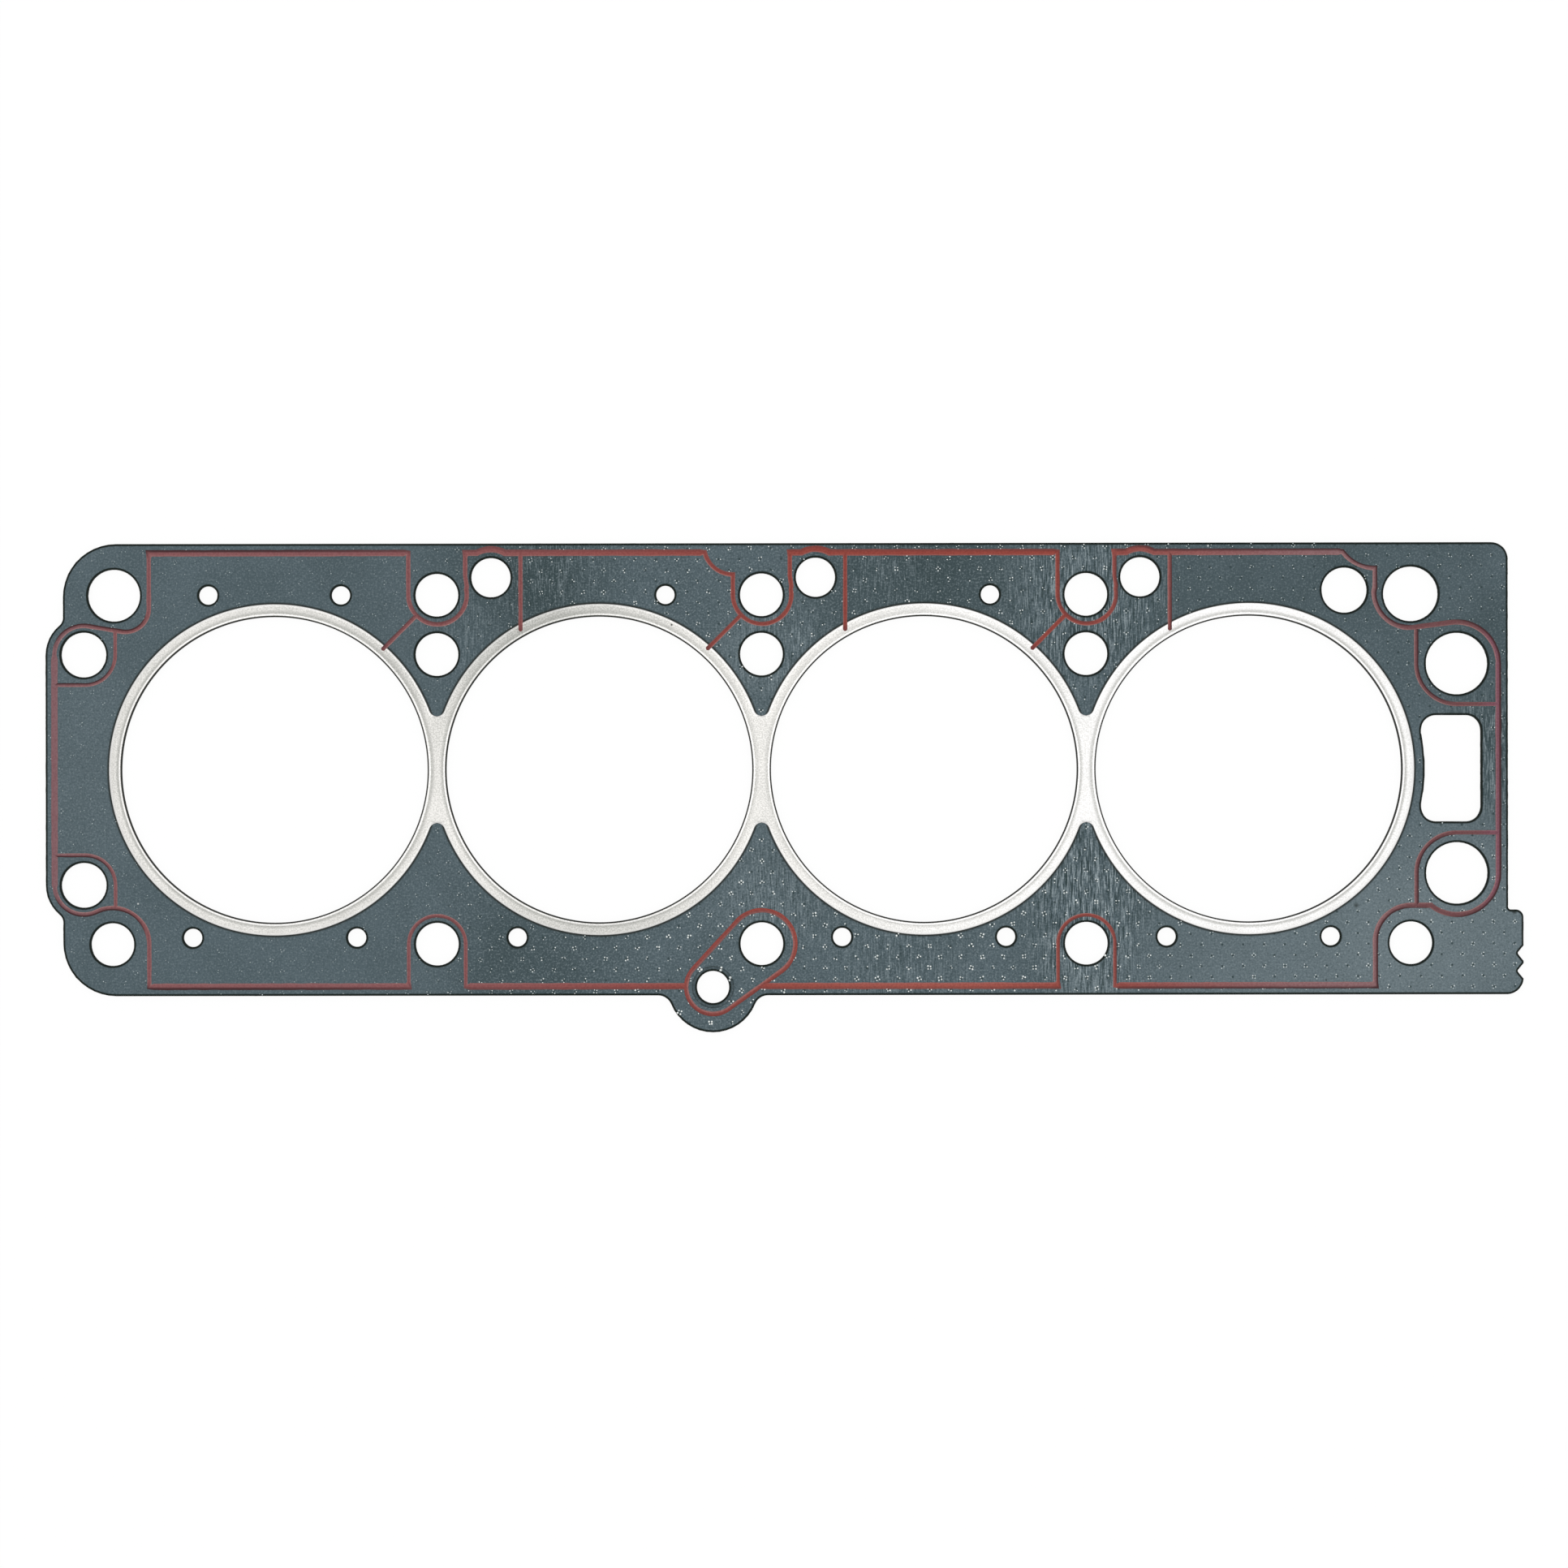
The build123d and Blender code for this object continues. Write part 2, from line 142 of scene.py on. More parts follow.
@dataclass(frozen=True)
class Layout:
    """Places and heights of the gasket's main features, as in the solids."""

    bore_pitch: float = 93.0
    bolt_row: float = 50.0
    bore_radius: float = 43.8
    flange_radius: float = 47.5
    fold_radius: float = 45.9
    bead_row: float = 62.1
    oil: Point = (-14.0, -62.4)
    sheet: float = 0.2
    body_bottom: float = 0.2
    core_bottom: float = 0.725
    core_top: float = 0.975
    body_top: float = 1.5
    flange_top: float = 1.7
    bead_height: float = 0.15

    @property
    def bores(self) -> list[float]:
        """X of each bore."""
        return [(i - 1.5) * self.bore_pitch for i in range(4)]

    @property
    def bolts(self) -> list[float]:
        """X of each head bolt in a row."""
        return [(i - 2) * self.bore_pitch for i in range(5)]

    def reach(self, x: float, y: float) -> float:
        """Return the distance to the nearest bore's centre."""
        return min(math.hypot(x - bore, y) for bore in self.bores)

    def face(self, side: Side) -> float:
        """Return the height of a facing's outer face."""
        return self.body_top if side is Side.HEAD else self.body_bottom

    def core_face(self, side: Side) -> float:
        """Return the height of the core's face under a facing."""
        return self.core_top if side is Side.HEAD else self.core_bottom


@dataclass(frozen=True)
class TangRows:
    """Staggered rows in which the core's tangs stand, leaning by an angle in degrees."""

    pitch: Point = (5.987, 3.09)
    origin: Point = (-0.03, -1.54)
    lean: float = 0.24


# Shader expressions


def _operator(operation: str, reflected: bool = False) -> Callable[["Shade", "Value"], "Shade"]:
    """Make an operator of Shade.

    Args:
        operation: The Math node's operation.
        reflected: Whether the shade stands on the operator's right.

    Returns:
        The method that adds the Math node.
    """

    def method(self: "Shade", other: "Value") -> "Shade":
        """Add the Math node."""
        return self.math(operation, other, self) if reflected else self.math(operation, self, other)

    return method


class Shade:
    """Output socket of a shader node, on which arithmetic adds Math nodes."""

    def __init__(self, kit: "NodeKit", socket: bpy.types.NodeSocket) -> None:
        self.kit = kit
        self.socket = socket

    def math(self, operation: str, left: "Value", right: "Value") -> "Shade":
        """Add one Math node on two values."""
        return self.kit.node("ShaderNodeMath", {"operation": operation}, {0: left, 1: right})

    __add__, __radd__ = _operator("ADD"), _operator("ADD", True)
    __sub__, __rsub__ = _operator("SUBTRACT"), _operator("SUBTRACT", True)
    __mul__, __rmul__ = _operator("MULTIPLY"), _operator("MULTIPLY", True)
    __truediv__, __rtruediv__ = _operator("DIVIDE"), _operator("DIVIDE", True)
    __pow__, __rpow__ = _operator("POWER"), _operator("POWER", True)

    def span(self, low: float, high: float) -> "Shade":
        """Return 0 below low, 1 above high, and a smooth step between them."""
        settings = {"interpolation_type": "SMOOTHSTEP"}
        return self.kit.node("ShaderNodeMapRange", settings, {0: self, 1: low, 2: high})

    def swing(self, limit: float) -> "Shade":
        """Return the distance to the nearest even multiple of a limit."""
        return self.math("PINGPONG", self, limit)

    def band(self, middle: float, half: float) -> "Shade":
        """Return 1 at a value, and a smooth fall to 0 at a half width from it."""
        return 1 - self.math("ABSOLUTE", self - middle, 0.0).span(0.0, half)


Value = Union[Shade, float, Sequence[float]]


class NodeKit:
    """Maker of the nodes of one material."""

    def __init__(self, name: str) -> None:
        """Start an empty material.

        Args:
            name: The material's name.
        """
        self.material = bpy.data.materials.new(name)
        self.material.use_nodes = True
        self.tree = self.material.node_tree
        self.tree.nodes.clear()

    def node(
        self,
        kind: str,
        settings: Mapping[str, object] | None = None,
        inputs: Mapping[Union[int, str], Value] | None = None,
        output: Union[int, str] = 0,
    ) -> Shade:
        """Add a node.

        Args:
            kind: The node's type.
            settings: Its properties, which are set first.
            inputs: Values or links, by the name or number of the socket.
            output: The socket that is handed back.

        Returns:
            The wrapped output socket.
        """
        made = self.tree.nodes.new(kind)
        for key, setting in (settings or {}).items():
            setattr(made, key, setting)
        for key, value in (inputs or {}).items():
            if isinstance(value, Shade):
                self.tree.links.new(value.socket, made.inputs[key])
            else:
                made.inputs[key].default_value = value
        return Shade(self, made.outputs[output])

    def blend(self, factor: Value, first: Value, second: Value) -> Shade:
        """Mix two colours, by a factor that runs from the first to the second."""
        settings = {"data_type": "RGBA", "blend_type": "MIX", "clamp_factor": True}
        return self.node("ShaderNodeMix", settings, {0: factor, 6: first, 7: second}, 2)

    def vector(
        self, operation: str, inputs: Mapping[Union[int, str], Value], output: str = "Vector"
    ) -> Shade:
        """Add one Vector Math node."""
        return self.node("ShaderNodeVectorMath", {"operation": operation}, inputs, output)

    def place(self) -> Shade:
        """Return the place on the gasket in millimetres."""
        metres = self.node("ShaderNodeTexCoord", output="Object")
        return self.vector("SCALE", {0: metres, "Scale": 1 / MM})

    def axis(self, vector: Shade, name: str) -> Shade:
        """Return one coordinate of a vector."""
        return self.node("ShaderNodeSeparateXYZ", None, {0: vector}, name)

    def stretched(self, vector: Shade, scale: Sequence[float]) -> Shade:
        """Return a vector with each axis multiplied by its own number."""
        return self.vector("MULTIPLY", {0: vector, 1: scale})

    def grain(self, vector: Shade, scale: float, detail: float = 2.0) -> Shade:
        """Return noise around a half, with features of about one over the scale."""
        return self.node("ShaderNodeTexNoise", None, {"Vector": vector, "Scale": scale, "Detail": detail})

    def reach(self, vector: Shade, centre: Point) -> Shade:
        """Return the distance to an upright line through a point."""
        flat = self.stretched(vector, (1.0, 1.0, 0.0))
        return self.vector("DISTANCE", {0: flat, 1: (*centre, 0.0)}, "Value")

    def patch(self, vector: Shade, centre: Point, radius: float) -> Shade:
        """Return 1 at a point, and a smooth fall to 0 at a radius."""
        return 1 - self.reach(vector, centre).span(radius * 0.15, radius)

    def spots(self, vector: Shade, spots: Sequence[Spot]) -> Shade:
        """Add up soft round spots.

        Args:
            vector: The place on the gasket.
            spots: X, Y, radius and strength of each spot.

        Returns:
            The strength at the place.
        """
        total: Value = 0.0
        for x, y, radius, strength in spots:
            total = self.patch(vector, (x, y), radius) * strength + total
        return total

    def mark(self, name: str) -> Shade:
        """Return a number that the mesh carries on its points."""
        return self.node("ShaderNodeAttribute", {"attribute_name": name}, output="Fac")

    def relief(self, height: Shade, distance: float, strength: float = 1.0) -> Shade:
        """Return the normal of a surface with a height, over a distance in millimetres."""
        inputs = {"Height": height, "Distance": distance * MM, "Strength": strength}
        return self.node("ShaderNodeBump", None, inputs, "Normal")

    def finish(self, **inputs: Value) -> bpy.types.Material:
        """Close the material with its surface shader.

        Args:
            **inputs: Sockets of the surface shader, with _ for each blank in a name.

        Returns:
            The finished material.
        """
        named = {key.replace("_", " "): value for key, value in inputs.items()}
        self.show(self.node("ShaderNodeBsdfPrincipled", None, named))
        return self.material

    def show(self, surface: Shade) -> None:
        """Link a shader to the material's output."""
        made = self.tree.nodes.new("ShaderNodeOutputMaterial")
        self.tree.links.new(surface.socket, made.inputs["Surface"])


# Finishes


@dataclass(frozen=True)
class FacingFinish:
    """Matte slate facing of rubber-bound fibre, combed beside the bolts and dimpled by the tangs, with
    painted shade in the dimples, along the armour's edge and on the cut edges.
    """

    base: str = "52636a"
    dark: str = "253a3d"
    pale: str = "93a1a6"
    cut: str = "0a1610"
    nick: str = "dfe4e2"
    dark_patches: tuple[Spot, ...] = (
        (-66.0, 56.0, 34.0, 0.66), (-66.0, -57.0, 36.0, 0.48), (46.0, 54.0, 48.0, 0.6),
        (130.0, 60.0, 60.0, 0.26), (180.0, 58.0, 50.0, 0.24), (-118.0, 52.0, 46.0, 0.1),
        (210.0, 12.0, 22.0, 0.42), (213.0, 40.0, 20.0, 0.3), (209.0, -10.0, 14.0, 0.3),
    )
    pale_patches: tuple[Spot, ...] = (
        (150.0, -62.0, 62.0, 0.2), (200.0, -45.0, 50.0, 0.26), (-200.0, 0.0, 46.0, 0.07),
        (0.0, -35.0, 26.0, 0.07), (0.0, 32.0, 20.0, 0.12), (93.0, -60.0, 16.0, 0.14),
    )
    combed: tuple[Spot, ...] = (
        (93.0, -32.0, 30.0, 1.5), (93.0, -56.0, 22.0, 1.0), (93.0, 46.0, 34.0, 1.3),
        (4.0, -36.0, 26.0, 0.6), (6.0, 34.0, 24.0, 0.7), (-86.0, 40.0, 22.0, 0.4), (36.0, 58.0, 22.0, 0.45),
        (-60.0, 58.0, 24.0, 0.5), (209.0, 4.0, 26.0, 0.95), (40.0, -57.0, 34.0, 0.5),
    )
    scars: tuple[Spot, ...] = (
        (170.3, -39.2, 1.1, 0.6), (161.7, -60.6, 0.5, 0.7), (215.6, -41.2, 0.9, 0.8),
        (-64.0, 61.0, 0.4, 0.5),
    )
    nicks: tuple[Spot, ...] = ((-178.7, -38.3, 0.38, 0.9), (128.0, 63.9, 0.4, 0.9))
    comb_stretch: tuple[float, float, float] = (3.9, 0.28, 1.0)
    washer: Point = (-93.0, 50.0)
    washer_radius: float = 7.6
    washer_groove: float = 0.4
    # Radius and half width of the painted shadow along the armour's edge.
    armour_reach: float = 47.68
    armour_shadow_width: float = 0.6
    upper_sheet: Point = (1.0, 1.3)
    layout: Layout = Layout()
    tangs: TangRows = TangRows()

    def build(self) -> bpy.types.Material:
        """Make the material.

        Returns:
            The material.
        """
        kit = NodeKit("slate_facing")
        place = kit.place()
        along = kit.axis(place, "X")
        combed = kit.spots(place, self.combed)
        combs = kit.grain(kit.stretched(place, self.comb_stretch), 1.0, 1.0)
        ridges = combs.span(0.54, 0.64) * combed
        furrows = (1 - combs.span(0.36, 0.45)) * combed
        lively = along.span(-110, -60) * (1 - along.span(100, 125))
        fine = kit.grain(place, 1.9, 2.0)
        flecks = fine.span(0.52, 0.68) * (lively * 0.1 + 0.23)
        pits = (1 - fine.span(0.32, 0.48)) * (lively * 0.14 + 0.3)
        clouds = kit.grain(place, 0.07, 3.0).span(0.35, 0.65) * 0.16
        # Painted shade in the dimples, which the relief also presses in.
        dimple = self._dimples(kit, place, fine)
        # The cut fibre's own dark colour, with painted shade on the edges.
        cut = kit.mark("cut")
        colour = srgb(self.base)
        for factor, code in (
            (kit.spots(place, self.dark_patches) + clouds, self.dark),
            (kit.spots(place, self.pale_patches) + flecks + ridges * 0.6, self.pale),
            (pits + furrows * 0.85 + dimple, self.dark),
            (kit.spots(place, self.nicks), self.nick),
            (kit.spots(place, self.scars), self.cut),
            (self._armour_shadow(kit, place) * 0.95, self.cut),
            (cut, self.cut),
        ):
            colour = kit.blend(factor, colour, srgb(code))
        relief = flecks + ridges - furrows + fine * 0.5 - dimple + self._washer_rings(kit, place)
        return kit.finish(
            Base_Color=colour,
            Roughness=0.6 - ridges * 0.1 + pits * 0.15 + cut * 0.3,
            Normal=kit.relief(relief, 0.02, 0.6),
            Specular_IOR_Level=0.35,
        )

    def _dimples(self, kit: NodeKit, place: Shade, fine: Shade) -> Shade:
        """Paint shade in the dimples over the tangs, in staggered rows.

        Args:
            kit: The material's kit.
            place: The place on the gasket.
            fine: Fine grain, which breaks the dimples up.

        Returns:
            How dark the painted shade in the dimples is.
        """
        across_pitch, along_pitch = self.tangs.pitch
        inputs = {
            "Vector": place,
            "Location": (*self.tangs.origin, 0.0),
            "Rotation": (0.0, 0.0, math.radians(self.tangs.lean)),
            "Scale": (*self.tangs.pitch, 1.0),
        }
        lattice = kit.node("ShaderNodeMapping", {"vector_type": "TEXTURE"}, inputs)
        column, row = kit.axis(lattice, "X"), kit.axis(lattice, "Y")
        total: Value = 0.0
        for shift, skip in ((0.0, 0.0), (0.5, 1.0)):
            across = (column + shift).swing(0.5) * across_pitch
            along = (row + skip).swing(1.0) * along_pitch
            total = (1 - (across * across + along * along).span(0.02, 0.2)) + total
        strong = kit.axis(place, "X").span(-120, -60) * 0.75 + 0.2
        return total * strong * fine.span(0.25, 0.5)

    def _armour_shadow(self, kit: NodeKit, place: Shade) -> Shade:
        """Paint the shadow that the armour's edge casts on the upper sheet, as a dark line along it.

        Args:
            kit: The material's kit.
            place: The place on the gasket.

        Returns:
            1 on the line, and a smooth fall to 0 beside it.
        """
        pitch = self.layout.bore_pitch
        along, across = kit.axis(place, "X"), kit.axis(place, "Y")
        nearest = kit.node("ShaderNodeMath", {"operation": "FLOOR"}, {0: (along + 2 * pitch) / pitch})
        nearest = kit.node("ShaderNodeClamp", None, {"Value": nearest, "Min": 0.0, "Max": 3.0})
        aside = along - nearest * pitch + 1.5 * pitch
        reach = (aside * aside + across * across) ** 0.5
        upper = kit.axis(place, "Z").span(*self.upper_sheet)
        return reach.band(self.armour_reach, self.armour_shadow_width) * upper

    def _washer_rings(self, kit: NodeKit, place: Shade) -> Shade:
        """Return the faint rings that a washer pressed round one bolt hole."""
        reach = kit.reach(place, self.washer)
        return reach.swing(self.washer_groove) * reach.band(self.washer_radius, 1.6) * 1.5


@dataclass(frozen=True)
class ArmourFinish:
    """Bright sheet steel with a fine grain, with painted light that brightens it towards the rear end,
    painted shade where it rolls into the bores, on its slopes and in patches, and painted highlight on its
    edges.
    """

    base: str = "efede9"
    grey: str = "a4a5a0"
    shadow: str = "262924"
    groove_grey: str = "8a8b83"
    bright: str = "fdfcfb"
    # Patches of painted shade on the rings.
    shade_patches: tuple[Spot, ...] = (
        (-78.0, 42.0, 50.0, 0.85), (-46.0, 46.0, 40.0, 0.45), (-48.0, -48.0, 46.0, 0.7),
        (-125.0, 48.0, 44.0, 0.25), (-186.0, 10.0, 40.0, 0.2), (-120.0, -46.0, 40.0, 0.2),
        (30.0, 50.0, 24.0, 0.12), (80.0, 30.0, 26.0, 0.2),
    )
    speck: Point = (-25.7, 41.4)
    speck_radius: float = 0.45

    def build(self) -> bpy.types.Material:
        """Make the material.

        Returns:
            The material.
        """
        kit = NodeKit("bright_armour")
        place = kit.place()
        grain = kit.grain(place, 2.4, 2.0).span(0.36, 0.66)
        fine = kit.grain(place, 6.0, 2.0).span(0.35, 0.7)
        clouds = kit.grain(place, 0.12, 2.0).span(0.3, 0.7)
        along = kit.axis(place, "X")
        # Painted light: the rings grow brighter towards the rear end.
        white = along.span(-30.0, 120.0)
        # Painted shade on the sloping band of each eye, weaker towards the middle of the gasket.
        shaded_slope = kit.mark("slope_shade") * (0.58 - along.band(28.0, 85.0) * 0.42)
        # Painted shade in patches, which also dims the painted highlight.
        dull = kit.spots(place, self.shade_patches)
        # Painted highlight on the crest of the rolled rim and along the outer edges.
        highlight = kit.mark("highlight")
        # Darker grey along the groove, broken up by noise.
        groove = kit.mark("groove") * (0.35 + kit.grain(place, 1.1, 2.0).span(0.35, 0.6) * 0.65)
        shadow = kit.mark("shadow")
        spotted = grain * (0.2 - white * 0.1) + (0.1 - white * 0.05)
        colour = srgb(self.base)
        for factor, code in (
            (white, self.bright),
            (spotted + clouds * 0.1 + dull * 0.5, self.grey),
            (shaded_slope, self.grey),
            (groove * 0.6, self.groove_grey),
            (highlight * (0.75 - dull * 0.3), self.bright),
            (shadow * 0.96, self.shadow),
            (kit.patch(place, self.speck, self.speck_radius), self.shadow),
        ):
            colour = kit.blend(factor, colour, srgb(code))
        return kit.finish(
            Base_Color=colour,
            Metallic=0.85,
            Roughness=0.42 + grain * 0.12 + shadow * 0.25 - highlight * 0.12,
            Normal=kit.relief(grain * 0.6 + fine * 0.4, 0.01, 0.3),
        )


@dataclass(frozen=True)
class CoreFinish:
    """Plain sheet steel of the core, dulled where it was cut."""

    base: str = "6a6d6d"
    dull: str = "343a3b"
    cut_stretch: tuple[float, float, float] = (1.0, 1.0, 5.0)

    def build(self) -> bpy.types.Material:
        """Make the material.

        Returns:
            The material.
        """
        kit = NodeKit("cut_core")
        grain = kit.grain(kit.stretched(kit.place(), self.cut_stretch), 1.6, 3.0).span(0.3, 0.7)
        return kit.finish(
            Base_Color=kit.blend(grain, srgb(self.dull), srgb(self.base)),
            Metallic=0.8,
            Roughness=0.5 + grain * 0.15,
            Normal=kit.relief(grain, 0.02, 0.5),
        )


@dataclass(frozen=True)
class TipFinish:
    """Bright tips of the tangs that reach the face, duller towards both ends of the gasket."""

    base: str = "f2f7f4"
    dull: str = "9fadb0"

    def build(self) -> bpy.types.Material:
        """Make the material.

        Returns:
            The material.
        """
        kit = NodeKit("tang_tip")
        place = kit.place()
        grain = kit.grain(place, 1.7, 1.0).span(0.4, 0.62)
        along = kit.axis(place, "X")
        faint = along.span(90, 125) * 0.38 + (1 - along.span(-110, -70)) * 0.6
        colour = kit.blend(grain * 0.4 + faint, srgb(self.base), srgb(self.dull))
        return kit.finish(Base_Color=colour, Metallic=0.2, Roughness=0.4 + grain * 0.2)


@dataclass(frozen=True)
class BeadFinish:
    """Printed silicone, brick red and duller towards the ends, with painted shade on its outer flanks,
    painted highlight on its inner flanks and a painted patch of light on the lower run.
    """

    middle: str = "993d2f"
    front: str = "8d5759"
    front_end: str = "83656c"
    rear: str = "90696c"
    rear_end: str = "8a5468"
    # Painted highlight on the flanks that face the gasket's middle.
    highlight_flank: str = "b08683"
    lit: str = "b8665a"
    # Painted shade on the flanks that face away from the gasket's middle.
    shaded_flank: str = "3a1419"
    tip: str = "5f2529"
    lit_spot: Point = (48.0, -62.0)
    lit_radius: float = 62.0

    def build(self) -> bpy.types.Material:
        """Make the material.

        Returns:
            The material.
        """
        kit = NodeKit("brick_silicone")
        place = kit.place()
        along = kit.axis(place, "X")
        streaks = kit.grain(place, 2.0, 3.0).span(0.35, 0.68)
        colour = srgb(self.front)
        for factor, code in (
            (along.span(-125, 25), self.middle),
            (along.span(80, 170), self.rear),
            ((1 - along.span(-202, -180)) * 0.6, self.front_end),
            (along.span(172, 190) * 0.6, self.tip),
            (along.span(204, 210) * 0.7, self.rear_end),
            (kit.patch(place, self.lit_spot, self.lit_radius) * 0.45, self.lit),
            (kit.mark("highlight_flank") * 0.5, self.highlight_flank),
            (kit.mark("shaded_flank"), self.shaded_flank),
            (streaks * 0.26 + kit.mark("vein") * 0.55, self.tip),
        ):
            colour = kit.blend(factor, colour, srgb(code))
        return kit.finish(
            Base_Color=colour,
            Roughness=0.5 + streaks * 0.15,
            Normal=kit.relief(streaks + kit.grain(place, 5.0) * 0.5, 0.01, 0.5),
            Specular_IOR_Level=0.35,
        )


# Meshes


class MeshDraft:
    """Points and faces in millimetres, gathered for one piece."""

    MERGE = 2e-7

    def __init__(self, name: str, marks: Sequence[str] = ()) -> None:
        """Start an empty draft.

        Args:
            name: The piece's name.
            marks: Names of the numbers that its points will carry.
        """
        self.name = name
        self.mesh = bmesh.new()
        self.layers = {mark: self.mesh.verts.layers.float.new(mark) for mark in marks}

    def point(self, x: float, y: float, z: float, **marks: float) -> Vert:
        """Add a point.

        Args:
            x: Its place along the row of bores.
            y: Its place across it.
            z: Its height above the deck.
            **marks: The numbers that it carries.

        Returns:
            The point.
        """
        made = self.mesh.verts.new((x * MM, y * MM, z * MM))
        for mark, value in marks.items():
            made[self.layers[mark]] = value
        return made

    def face(self, *points: Vert) -> None:
        """Add a face, where at least three of its points differ.

        Args:
            *points: Its corners in order.
        """
        distinct = list(dict.fromkeys(points))
        if len(distinct) > 2:
            self.mesh.faces.new(distinct)

    def band(self, first: Sequence[Vert], second: Sequence[Vert], closed: bool) -> None:
        """Join two rows of points by a band of quads.

        Args:
            first: One row.
            second: The other row, as long.
            closed: Whether the rows are rings.
        """
        count = len(first) if closed else len(first) - 1
        for i in range(count):
            after = (i + 1) % len(first)
            self.face(first[i], first[after], second[after], second[i])

    def build(
        self, finish: bpy.types.Material, slot: Slot, replaced: str = "", crease: float = 40.0
    ) -> bpy.types.Object:
        """Make the object.

        Args:
            finish: The piece's material.
            slot: Not used.
            replaced: The node that it stands for, if any.
            crease: Edges sharper than this angle in degrees stay sharp.

        Returns:
            The object, riding on the gasket's body.
        """
        bmesh.ops.remove_doubles(self.mesh, verts=self.mesh.verts, dist=self.MERGE)
        bmesh.ops.recalc_face_normals(self.mesh, faces=self.mesh.faces)
        for face in self.mesh.faces:
            face.smooth = True
        for edge in self.mesh.edges:
            edge.smooth = edge.calc_face_angle(math.pi) < math.radians(crease)
        mesh = bpy.data.meshes.new(self.name)
        self.mesh.to_mesh(mesh)
        open_edges = sum(1 for edge in self.mesh.edges if len(edge.link_faces) != 2)
        triangles = sum(len(face.verts) - 2 for face in self.mesh.faces)
        self.mesh.free()
        mesh.materials.append(finish)
        made = bpy.data.objects.new(self.name, mesh)
        bpy.context.scene.collection.objects.link(made)
        if replaced:
            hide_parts(replaced)
        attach(made, BODY)
        LOG.info("%s: %d triangles, %d open edges", self.name, triangles, open_edges)
        return made


# Bore armour


@dataclass(frozen=True)
class ColumnEnd:
    """Where the armour's section ends outside at one angle, and the gap from a point to the free edge."""

    radius: float
    on_web: bool
    gap: Callable[[float, float], float]


@dataclass
class BoreArmour:
    """One bright pressing with four eyes: flange, rolled rim, bore wall and folded rim.

    Of its marks, the groove and the highlight ring are a radius and a width, and the rest start and end at
    a radius or at a gap from the free edge. The slope and shadow marks are painted shade, and the highlight
    mark is painted highlight.
    """

    layout: Layout
    valley_radius: float = 2.2
    bend: float = 0.3
    seat_inner: float = 44.1
    seat_outer: float = 45.4
    seat_dip: float = 0.08
    edge_round: float = 0.22
    edge_drop: float = 0.13
    edge_steps: tuple[float, ...] = (0.0, 0.03, 0.09, 0.16, 0.24)
    shoulder: float = 46.1
    shoulder_step: float = 0.34
    shoulder_shares: Point = (0.6, 0.85)
    groove: Point = (44.9, 0.1)
    highlight_ring: Point = (44.48, 0.2)
    slope_start: Point = (44.65, 45.0)
    slope_end: Point = (45.15, 45.75)
    bore_shadow: Point = (44.12, 44.3)
    edge_highlight: Point = (0.15, 0.4)
    edge_shadow: Point = (0.02, 0.12)
    wall_row: float = 0.7
    closest: float = 0.2
    slack: float = 1e-6
    section: tuple[float, ...] = (
        45.9, 45.6, 45.3, 45.05, 44.85, 44.65, 44.4, 44.26, 44.14, 44.05, 43.93, 43.84, 43.8,
    )
    crown: tuple[Point, ...] = (
        (43.80, 1.36), (43.84, 1.46), (43.93, 1.55), (44.05, 1.605), (44.2, 1.635), (44.4, 1.65),
        (44.65, 1.645), (44.85, 1.62), (45.05, 1.61), (45.3, 1.62), (45.6, 1.665), (45.9, 1.70),
    )
    fold_edge: tuple[Point, ...] = ((-0.08, 0.0), (-0.02, 0.03), (0.0, 0.1), (-0.02, 0.17), (-0.08, 0.2))
    marks: tuple[str, ...] = ("groove", "slope_shade", "highlight", "shadow")

    def __post_init__(self) -> None:
        """Work out where the flange's edge turns into a valley."""
        half = self.layout.bore_pitch / 2
        far = self.layout.flange_radius + self.valley_radius
        self.valley = (half, math.sqrt(far**2 - half**2))
        self.tangent_angle = bearing((0, 0), self.valley)
        self.tip_angle = bearing((0, 0), (half, self.valley[1] - self.valley_radius))

    def build(self) -> bpy.types.Object:
        """Make the whole pressing.

        Returns:
            The piece.
        """
        draft = MeshDraft("armour_pressing", self.marks)
        for x in self.layout.bores:
            self._eye(draft, x)
        return draft.build(ArmourFinish().build(), Slot.ARMOUR, "bore_armour", 50.0)

    def _angles(self) -> list[float]:
        """List the angles of one eye's columns, which are closer together beside the webs.

        Returns:
            The angles in degrees, once round.
        """
        fixed = (self.tip_angle, self.tangent_angle)
        quarter = {0.0, 90.0, *fixed}
        quarter.update(i * 0.75 for i in range(1, 32))
        quarter.update(24 + i * 1.5 for i in range(44))
        kept = sorted(quarter)
        close = [a for a, b in zip(kept, kept[1:]) if b - a < self.closest and a not in fixed]
        kept = [a for a in kept if a not in close]
        whole = kept + [180 - a for a in reversed(kept)][1:]
        return whole + [360 - a for a in reversed(whole)][1:-1]

    def _end(self, angle: float, left: bool, right: bool) -> ColumnEnd:
        """Find where a column ends outside.

        Args:
            angle: The column's angle in degrees.
            left: Whether there is a bore on the left.
            right: Whether there is a bore on the right.

        Returns:
            The column's end.
        """
        turn = abs((angle + 180) % 360 - 180)
        facing_right = turn <= 90
        lean = turn if facing_right else 180 - turn
        side = 1 if facing_right else -1
        neighbour = right if facing_right else left
        up = 1 if angle % 360 <= 180 else -1
        flange = self.layout.flange_radius
        if not neighbour or lean >= self.tangent_angle - self.slack:
            return ColumnEnd(flange, False, lambda x, y: flange - math.hypot(x, y))
        centre = (side * self.valley[0], up * self.valley[1])

        def to_valley(x: float, y: float) -> float:
            """Return the distance of a point to the valley's edge."""
            return math.hypot(x - centre[0], y - centre[1]) - self.valley_radius

